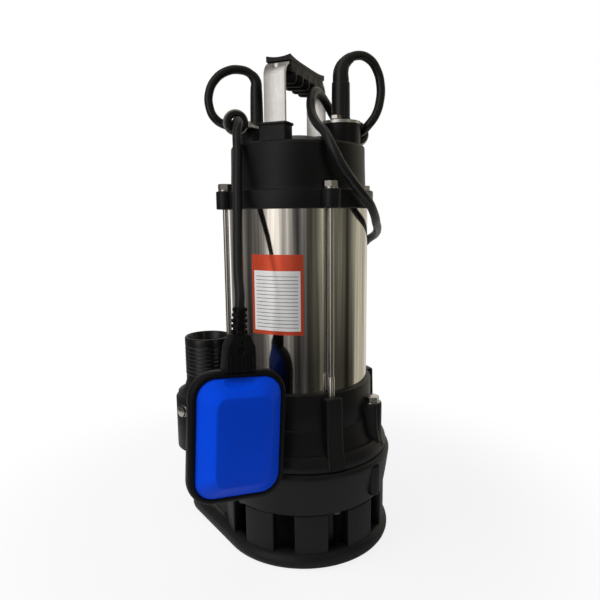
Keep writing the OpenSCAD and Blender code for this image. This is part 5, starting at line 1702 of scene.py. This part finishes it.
@dataclass
class Head:
    """The moulded head: flange with rod lugs, gland towers and the handle's bosses.

    Attributes:
        profile: closed profile as (radius, height) pairs.
        lug: circle and radius of the rod lugs, and their lower and upper face.
        tower: distance, radius, lower end and upper end of the gland towers.
        holes: radius of the hole in the right and in the left tower.
        boss: width, depth, lower end and upper end of a handle boss.
        leg: distance of the handle's legs from the middle.
        slot: width and depth of the slot for a leg.
        rod_hole: radius of the holes for the rods.
        screw: radius and lower end of a gland screw's hole.
        clear: a height above the head, where the cuts end.
    """

    profile: Sequence[tuple[float, float]] = (
        (0, 306), (64.2, 306), (64.2, 317), (69.2, 317), (70, 317.9), (70, 331.6),
        (69.7, 332.5), (68.8, 333), (64.4, 333), (63.5, 333.5), (63.1, 334.5), (62.9, 337), (62.3, 354),
        (62, 370.6), (61.7, 372), (61, 373), (59.8, 373.7), (58, 374.1), (52, 374.6), (40, 375.6), (30, 378.6),
        (22, 381.4), (14, 383), (0, 383.6))
    lug: Point = (ROD_CIRCLE, 8.0, 317.0, 333.0)
    tower: Point = (GLAND[0], 17.5, 340.0, 391.0)
    holes: tuple[float, float] = (8.4, 6.4)
    boss: Point = (26.0, 14.5, 361.0, 389.0)
    leg: float = LEG
    slot: tuple[float, float] = (20.2, 2.7)
    rod_hole: float = 3.3
    screw: tuple[float, float] = (2.5, 377.0)
    clear: float = 400.0

    def build(self) -> None:
        """Makes the head."""
        head = Bench.lathe("motor_cap", list(self.profile), steps=192)
        circle, r, low, high = self.lug
        profile = [(0, low), (r - 0.8, low), (r, low + 0.8), (r, high - 1), (r - 0.3, high - 0.3), (r - 1, high),
                   (0, high)]
        lugs = [Bench.lathe("lug", profile, (*polar(circle, a), 0), 56) for a in QUARTERS]
        reach, tr, t0, t1 = self.tower
        towers = [Bench.lathe("tower", [(0, t0), (tr - 3, t0), (tr, t0 + 3), (tr, t1 - 0.8), (tr - 0.8, t1), (0, t1)],
                              (s * reach, 0, 0), 72) for s in SIDES]
        w, d, b0, b1 = self.boss
        bosses = []
        for s in SIDES:
            outline = [(x, y + s * self.leg) for x, y in round_rect(w, d, 2.2, 6)]
            lip = [(x, y + s * self.leg) for x, y in round_rect(w + 2.4, d + 2.4, 3.0, 6)]
            body = Bench.ease(Bench.prism("boss", outline, b0, b1), 0.7, 60, 2)
            rim = Bench.ease(Bench.prism("boss_lip", lip, b1 - 2.6, b1 - 0.4), 0.6, 60, 2)
            bosses += [body, rim]
        Bench.cut(head, Cut.ADD, *lugs, *towers, *bosses)
        tools = [Bench.lathe("seat", [(63.3, 300), (65.1, 300), (65.1, 324), (63.3, 324)], steps=192),
                 Bench.lathe("hollow", [(0, 300), (57.2, 300), (57.2, 332.9), (57, 333), (57, 369), (0, 369)])]
        for a in QUARTERS:
            tools.append(Bench.pin("hole", self.rod_hole, 310, 340, polar(circle, a)))
        for s, hole in zip(SIDES, self.holes):
            tools.append(Bench.pin("hole", hole, 333, self.clear, (s * reach, 0), 54))
            for k in SIDES:
                tools.append(Bench.pin("thread", *self.screw, self.clear, (s * reach, k * GLAND[1]), 24))
            outline = [(x, y + s * self.leg) for x, y in round_rect(*self.slot, 0.3, 3)]
            tools.append(Bench.prism("slot", outline, 365, self.clear))
        Bench.cut(head, Cut.TAKE, *tools)
        fit(Bench.shade(head, 30), BLACK, "motor_head")


@dataclass
class Handle:
    """The bent strap and the moulded grip on it.

    Attributes:
        leg: distance of the legs from the middle.
        foot: height of the legs' lower ends.
        bar: height of the strap's top run.
        bend: radius of the bends.
        strap: width and thickness of the strap.
        grip_w: width of the grip.
        grip_len: length of the grip between the bends.
        top: height of the grip's top.
        under: height of the grip's body below.
        ribs: number of finger ribs.
        slant: how far the ribs are turned, in degrees.
    """

    leg: float = LEG
    foot: float = 365.0
    bar: float = 439.0
    bend: float = 12.0
    strap: tuple[float, float] = (20.0, 2.5)
    grip_w: float = 23.0
    grip_len: float = 76.0
    top: float = 444.6
    under: float = 430.5
    ribs: int = 5
    slant: float = 24.0

    def path(self) -> list[tuple[float, float, float]]:
        """The strap's middle line.

        Returns:
            Places along it as (y, z, direction in degrees).
        """
        b = self.bend
        side = self.leg - b
        points = [(-self.leg, self.foot, 90.0), (-self.leg, self.bar - b, 90.0)]
        points += [(*polar(b, 180 - 9 * i, (-side, self.bar - b)), 90.0 - 9 * i) for i in range(1, 11)]
        points += [(side, self.bar, 0.0)]
        points += [(*polar(b, 90 - 9 * i, (side, self.bar - b)), -9.0 * i) for i in range(1, 11)]
        return [*points, (self.leg, self.foot, -90.0)]

    def bent_strap(self) -> None:
        """The strap with its rounded edges and slots."""
        w, t = self.strap
        section = round_rect(w, t, 0.7, 4)
        rows = []
        for y, z, a in self.path():
            n = math.radians(a + 90)
            rows.append([(x, y + d * math.cos(n), z + d * math.sin(n)) for x, d in section])
        strap = Bench.loft("bent_strap", rows)
        for s in SIDES:
            hole = Bench.prism("slot", [(x, y + s * (self.leg - 2.6)) for x, y in round_rect(5, 4, 0.8, 3)], 428, 442)
            Bench.cut(strap, Cut.TAKE, hole)
        fit(Bench.shade(strap, 30), STRAP, "handle_strap")

    def grip(self) -> None:
        """The grip: a dished top with raised corners, and slanted finger ribs under the bar."""
        half, end = self.grip_w / 2, self.leg - 8.0
        rows = []
        for i in range(41):
            y = -end + 2 * end * i / 40
            rise = 1.9 * (abs(y) / end) ** 4
            dish = [(x, self.top - 2.7 + rise + 1.7 * (x / half) ** 2) for x in
                    (half - 0.4, half * 0.7, half * 0.35, 0, -half * 0.35, -half * 0.7, -half + 0.4)]
            side = [(-half, self.top - 1.6 + rise), (-half, self.bar + 1.75), (-half + 0.4, self.bar + 1.35),
                    (half - 0.4, self.bar + 1.35), (half, self.bar + 1.75), (half, self.top - 1.6 + rise)]
            rows.append([(x, y, z) for x, z in dish + side])
        plate = Bench.loft("grip", rows)
        outline = round_rect(self.grip_w - 1.0, self.grip_len + 8, 4, 8)
        body = Bench.prism("grip_body", outline, self.under + 1.0, self.bar + 3)
        Bench.ease(body, 1.4, 60, 3)
        step = self.grip_len / self.ribs
        capsule = [(0, -half - 0.2), (2.2, -half), (4.6, -half + 0.7), (5.9, -half + 2.2), (6.3, -half + 4.2),
                   (6.3, half - 4.2), (5.9, half - 2.2), (4.6, half - 0.7), (2.2, half), (0, half + 0.2)]
        rib = Bench.lathe("rib", capsule, steps=40)
        lay = turned(self.slant) @ turned(90, "Y")
        spots = [moved(0, (i - (self.ribs - 1) / 2) * step, self.under) @ lay for i in range(self.ribs)]
        ribs = Bench.repeat(rib, spots)
        w, t = self.strap
        slot = Bench.prism("slot", round_rect(w + 0.3, 4 * end, 0.5, 3), self.bar - t / 2 - 0.15,
                           self.bar + t / 2 + 0.1)
        grip = Bench.cut(plate, Cut.ADD, body, *ribs)
        Bench.cut(grip, Cut.TAKE, slot)
        fit(Bench.shade(grip, 34), GRIP, "handle_grip")

    def build(self) -> None:
        """Makes the strap and the grip."""
        self.bent_strap()
        self.grip()


@dataclass
class Glands:
    """The cables' bend sleeves and the grommets in the eyes of the gland plates.

    Attributes:
        supply: x, y, z and radius of places along the supply cord's sleeve.
        signal: the same for the float cable's sleeve.
        eyes: middle of the right and of the left grommet.
        turn: how far the grommets' axis is turned about Z, in degrees.
        bore: radius of the way through a sleeve.
    """

    supply: Sequence[Sequence[float]] = (
        (42, 0, 379, 8.3), (42, 0, 393.2, 8.3), (42, 0, 394.4, 8.9), (42, 0, 396, 8.9), (42, 0, 397.4, 8.3),
        (42, 0, 412, 8.2), (42, 0, 426.4, 8.0), (42, 0, 427.3, 7.8), (42, 0, 427.7, 7.3), (42, 0, 430.5, 7.2),
        (41.88, -0.2, 433.5, 7.0), (42, 0, 436.5, 6.8), (42.43, 0.88, 439.3, 6.5), (42.94, 2.01, 441.7, 6.1),
        (43.74, 3.39, 443.8, 5.7), (45, 5, 446, 5.3), (46.72, 6.72, 448.2, 4.9), (48.54, 8.28, 449.9, 4.5),
        (49.2, 8.8, 450.4, 4.15))
    signal: Sequence[Sequence[float]] = (
        (-42, 0, 379, 6.3), (-42, 0, 393.2, 6.3), (-42, 0, 394.4, 6.8), (-42, 0, 396, 6.8), (-42, 0, 397.4, 6.3),
        (-42, 0, 412, 6.1), (-42, 0, 424, 5.8), (-42, 0, 430.5, 5.5), (-41.81, 0.19, 433.3, 5.3),
        (-42, 0, 436, 5.1), (-42.66, -0.71, 438.2, 4.9), (-43.47, -1.61, 440, 4.7), (-44.55, -2.7, 441.5, 4.4),
        (-45.4, -3.4, 442.4, 4.15))
    eyes: Sequence[Point] = ((48.0, 31.0, 386.75), (-48.0, -31.0, 395.05))
    turn: float = -50.0
    bore: float = 4.04

    def sleeve(self, stations: Sequence[Sequence[float]], name: str, node: str) -> None:
        """A rubber sleeve that narrows along the cable.

        Args:
            stations: x, y, z and radius of places along it.
            name: the piece's name.
            node: the solid that it stands for.
        """
        fit(Bench.shade(Bench.hose(name, stations, self.bore), 34), CABLE, node)

    def grommets(self) -> None:
        """Both grommets, one modelled and one copied."""
        profile = [(4.6, -5), (8.2, -5), (9.4, -4.6), (10, -3.6), (10, -2.4), (9.6, -1.6), (8.9, -1.35), (7.3, -1.35),
                   (7.3, 1.35), (8.9, 1.35), (9.6, 1.6), (10, 2.4), (10, 3.6), (9.4, 4.6), (8.2, 5), (5.6, 5),
                   (4.6, 4.2)]
        first = Bench.lathe("grommet", profile, steps=64)
        tilt = turned(self.turn) @ turned(90, "Y")
        spots = [moved(*eye) @ tilt for eye in self.eyes]
        second = Bench.copy(first, "float_grommet", spots[1])
        Bench.place(first, spots[0]).name = "power_grommet"
        fit(Bench.shade(first, 40), CABLE, "power_cable_grommet")
        fit(Bench.shade(second, 40), CABLE, "float_cable_grommet")

    def build(self) -> None:
        """Makes the sleeves and the grommets."""
        self.sleeve(self.supply, "power_bend_sleeve", "power_cable_sleeve")
        self.sleeve(self.signal, "float_bend_sleeve", "float_cable_sleeve")
        self.grommets()


@dataclass
class HoseTail:
    """The barbed spigot in the outlet socket.

    Attributes:
        outlet: distance of its axis from the shaft.
        barbs: number of barbs.
        first: height of the first barb.
        pitch: distance between barbs.
        land: radius of a barb, and of the root between barbs.
    """

    outlet: float = OUTLET
    barbs: int = 7
    first: float = 148.0
    pitch: float = 4.2
    land: tuple[float, float] = (24.2, 23.85)

    def build(self) -> None:
        """Turns the spigot."""
        high, root = self.land
        profile = [(18, 101.5), (29.4, 101.5), (29.4, 125.5), (32.4, 125.5), (33, 126.1), (33, 128.9), (32.4, 129.6),
                   (31, 130.2), (28.6, 131.4), (26.8, 133.2), (25.6, 135.2), (24.9, 137.4), (24.3, 139.4),
                   (23.9, 141), (23.8, 147)]
        for i in range(self.barbs):
            z = self.first + i * self.pitch
            profile += [(root, z - 0.1), (root + 0.1, z), (high - 0.1, z + 0.2), (high, z + 0.5), (high, z + 1.9),
                        (high - 0.1, z + 2.8), (root + 0.1, z + 3.8)]
        profile += [(root, 177.6), (high - 0.1, 178), (high, 178.5), (high, 185), (high - 0.3, 186.3),
                    (high - 1.0, 187), (22.2, 187), (21.6, 186.7), (19.2, 181), (18, 175)]
        tail = Bench.lathe("barbed_tail", profile, (-self.outlet, 0, 0), 128)
        fit(Bench.shade(tail, 24), GLOSSY, "hose_tail")


@dataclass
class FloatSwitch:
    """The float: a blue front shell, a back shell in a darker blue that is painted shade, a black rim and the cable
    boot.

    Attributes:
        place: middle of the float.
        turn: its turn about X, Y and Z, in degrees.
        size: width, height and corner radius at the rim.
        face: how far the blue faces stand in from the rim.
        wall: thickness of the shells.
        scoop: half sizes of the hollow in the front's upper slope.
        scoop_at: middle of that hollow.
        scoop_tilt: how far it leans, in degrees.
        boot: width at the foot, width at the top, depth and height of the boot.
        relief: radius, height and number of rings of the bend relief.
    """

    place: Point = (-6.0, -119.5, 137.5)
    turn: Point = (-3.0, 4.0, 46.5)
    size: Point = (81.0, 107.0, 21.0)
    face: float = 5.5
    wall: float = 1.5
    scoop: Point = (14.5, 2.3, 7.2)
    scoop_at: Point = (0.0, -9.9, 45.0)
    scoop_tilt: float = -48.0
    boot: Point = (25.6, 22.0, 17.0, 28.0)
    relief: Point = (6.7, 22.0, 5)

    def frame(self) -> Matrix:
        """Where the float hangs."""
        turn = Euler([math.radians(a) for a in self.turn], "XYZ").to_matrix().to_4x4()
        return moved(*self.place) @ turn

    def ring(self, inset: float, y: float, corner: float) -> list[Point]:
        """An outline of the float at some depth, moved in from the rim."""
        w, h, _ = self.size
        return [(x, y, z) for x, z in round_rect(w - 2 * inset, h - 2 * inset, corner, 14)]

    def shell(self, name: str, node: str, side: int) -> None:
        """One shell, hollow, with a soft slope up to its flat panel: blue at the front, and at the back a darker blue
        that is painted shade.

        Args:
            name: the piece's name.
            node: the solid that it stands for.
            side: -1 for the front, 1 for the back.
        """
        f, t = self.face, self.wall
        outer = [(f, 0.0, 15.5), (f, 5.4, 15.5), (f + 0.3, 6.2, 15.3), (f + 0.9, 7.0, 15.0), (f + 4.2, 10.5, 13.6),
                 (f + 8.2, 14.5, 11.4), (f + 12.4, 18.7, 9.4), (f + 12.8, 19.0, 9.2), (f + 13.2, 19.2, 9.0),
                 (f + 13.8, 19.3, 8.8), (f + 16.0, 19.5, 7.8), (f + 22.0, 20.0, 5.0)]
        inner = [(i + t, max(0.0, y - t), max(1.5, r - t)) for i, y, r in reversed(outer)]
        rows = [self.ring(i, side * y, r) for i, y, r in inner + outer]
        piece = Bench.loft(name, rows)
        if side < 0:
            angles = (math.pi * k / 16 - math.pi / 2 for k in range(1, 16))
            ball = [(0, -1), *[(math.cos(a), math.sin(a)) for a in angles], (0, 1)]
            scoop = Bench.lathe("scoop", ball, steps=48)
            size = Matrix.Diagonal((*self.scoop, 1))
            Bench.place(scoop, moved(*self.scoop_at) @ turned(self.scoop_tilt, "X") @ size)
            Bench.cut(piece, Cut.TAKE, scoop)
        Bench.place(piece, self.frame())
        # the back shell takes the darker blue, which is painted shade
        fit(Bench.shade(piece, 26), BLUE if side < 0 else BLUE_PAINTED_SHADE, node, body=Body.FLOAT)

    def rim(self) -> None:
        """The rounded rim that clips the shells together."""
        f = self.face
        loops = [(f + 0.05, -5.6, 15.5), (f - 0.4, -6.3, 16), (f - 1.5, -6.7, 17.2), (f - 3.0, -6.4, 18.6),
                 (1.0, -5.2, 20), (0.25, -3.4, 20.8), (0.0, -1.2, 21), (0.0, 1.2, 21), (0.25, 3.4, 20.8),
                 (1.0, 5.2, 20), (f - 3.0, 6.4, 18.6), (f - 1.5, 6.7, 17.2), (f - 0.4, 6.3, 16),
                 (f + 0.05, 5.6, 15.5)]
        piece = Bench.loft("float_band", [self.ring(i, y, r) for i, y, r in loops], ring=True)
        Bench.place(piece, self.frame())
        fit(Bench.shade(piece, 40), RIM, "float_rim", body=Body.FLOAT)

    def cable_boot(self) -> None:
        """The ribbed boot and its castellated bend relief."""
        foot, top, deep, tall = self.boot
        z0 = self.size[1] / 2
        levels = [(foot, deep, 2.0, -1.0), (foot, deep, 2.0, 0.4), (foot - 0.5, deep - 0.4, 2.0, 6.0),
                  (foot - 1.2, deep - 1.0, 2.0, 14.0), (foot - 2.2, deep - 1.6, 2.0, 19.4),
                  (top, deep - 2.2, 2.0, 21.0), (top - 4.6, deep - 3.4, 2.2, 25.8),
                  (top - 5.4, deep - 3.9, 2.4, 27.2), (top - 6.0, deep - 4.4, 2.4, tall)]
        rows = [[(x, y, z0 + z) for x, y in round_rect(w, d, r, 6)] for w, d, r, z in levels]
        body = Bench.loft("float_cable_boot", rows)
        hole = Bench.pin("hole", 1.3, -20, 20, sides=20)
        Bench.place(hole, moved(0, 0, z0 + 22.6) @ turned(90, "X"))
        dent = Bench.lathe("dent", [(0, -1.2), (2.4, -1.0), (3.3, 0), (2.4, 1.0), (0, 1.2)], steps=32)
        Bench.place(dent, moved(0, -deep / 2 + 0.7, z0 + 15.6) @ turned(90, "X"))
        Bench.cut(body, Cut.TAKE, hole, dent)
        rib = Bench.ease(Bench.prism("rib", round_rect(1.3, 2.2, 0.5, 4), z0 - 0.6, z0 + 12.5), 0.5, 60, 2)
        spots = [moved(3.0 * (i - 3), s * (deep / 2 - 0.5), 0) for i in range(7) for s in SIDES]
        ribs = [Bench.copy(rib, "rib", spot) for spot in spots]
        bpy.data.objects.remove(rib)
        r, rise, count = self.relief
        z1 = z0 + tall
        step = rise / count
        core = Bench.lathe("core", [(4.05, z1 - 2), (r - 1.5, z1 - 2), (r - 1.9, z1 + rise - 0.6),
                                    (r - 2.4, z1 + rise), (4.05, z1 + rise)], steps=48)
        blocks = []
        for i in range(count):
            low = z1 + i * step + 0.8
            ro = r - 0.18 * i
            sector = arc(ro, -31, 31, 8) + arc(r - 2.6, 31, -31, 6)
            block = Bench.ease(Bench.prism("block", sector, low, low + step * 0.62), 0.4, 60, 2)
            turns = [turned(90 * k + 45 * (i % 2)) for k in range(4)]
            blocks += Bench.repeat(block, turns)
        boot = Bench.join("float_cable_boot", [body, *ribs, core, *blocks])
        Bench.place(boot, self.frame())
        fit(Bench.shade(boot, 34), RIM, "float_boot", body=Body.FLOAT)

    def build(self) -> None:
        """Makes the float's pieces."""
        self.shell("float_face", "float_front_shell", -1)
        self.shell("float_back", "float_back_shell", 1)
        self.rim()
        self.cable_boot()


def dress() -> None:
    """Gives every solid that stays in view, or inside, the finish of its slot."""
    looks = {look.slot: look for look in (
        BLACK, GRIP, POLISHED, STRAP, FASTENER, BEARING, SEAL, CABLE, TIE, BRASS, ALUMINIUM, IRON, COPPER, PALE,
        SWITCH, BLUE, RIM)}
    for part in frame["record"]["subparts"]:
        Paint.lay(frame["nodes"][part["node"]], looks[part["material_slot"]])
    for name in ("cover_screws", "strainer_screws"):
        Paint.lay(frame["nodes"][name], DULL)


def main() -> None:
    """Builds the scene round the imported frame."""
    logging.basicConfig(level=logging.INFO, format="%(name)s: %(message)s")
    Studio().build()
    Cords().build()
    for assembly in (Foot(), Volute(), OilHousing(), Fasteners(), Barrel(), Head(), Handle(), Glands(), HoseTail(),
                     FloatSwitch()):
        assembly.build()
    dress()


if __name__ == "__main__":
    main()
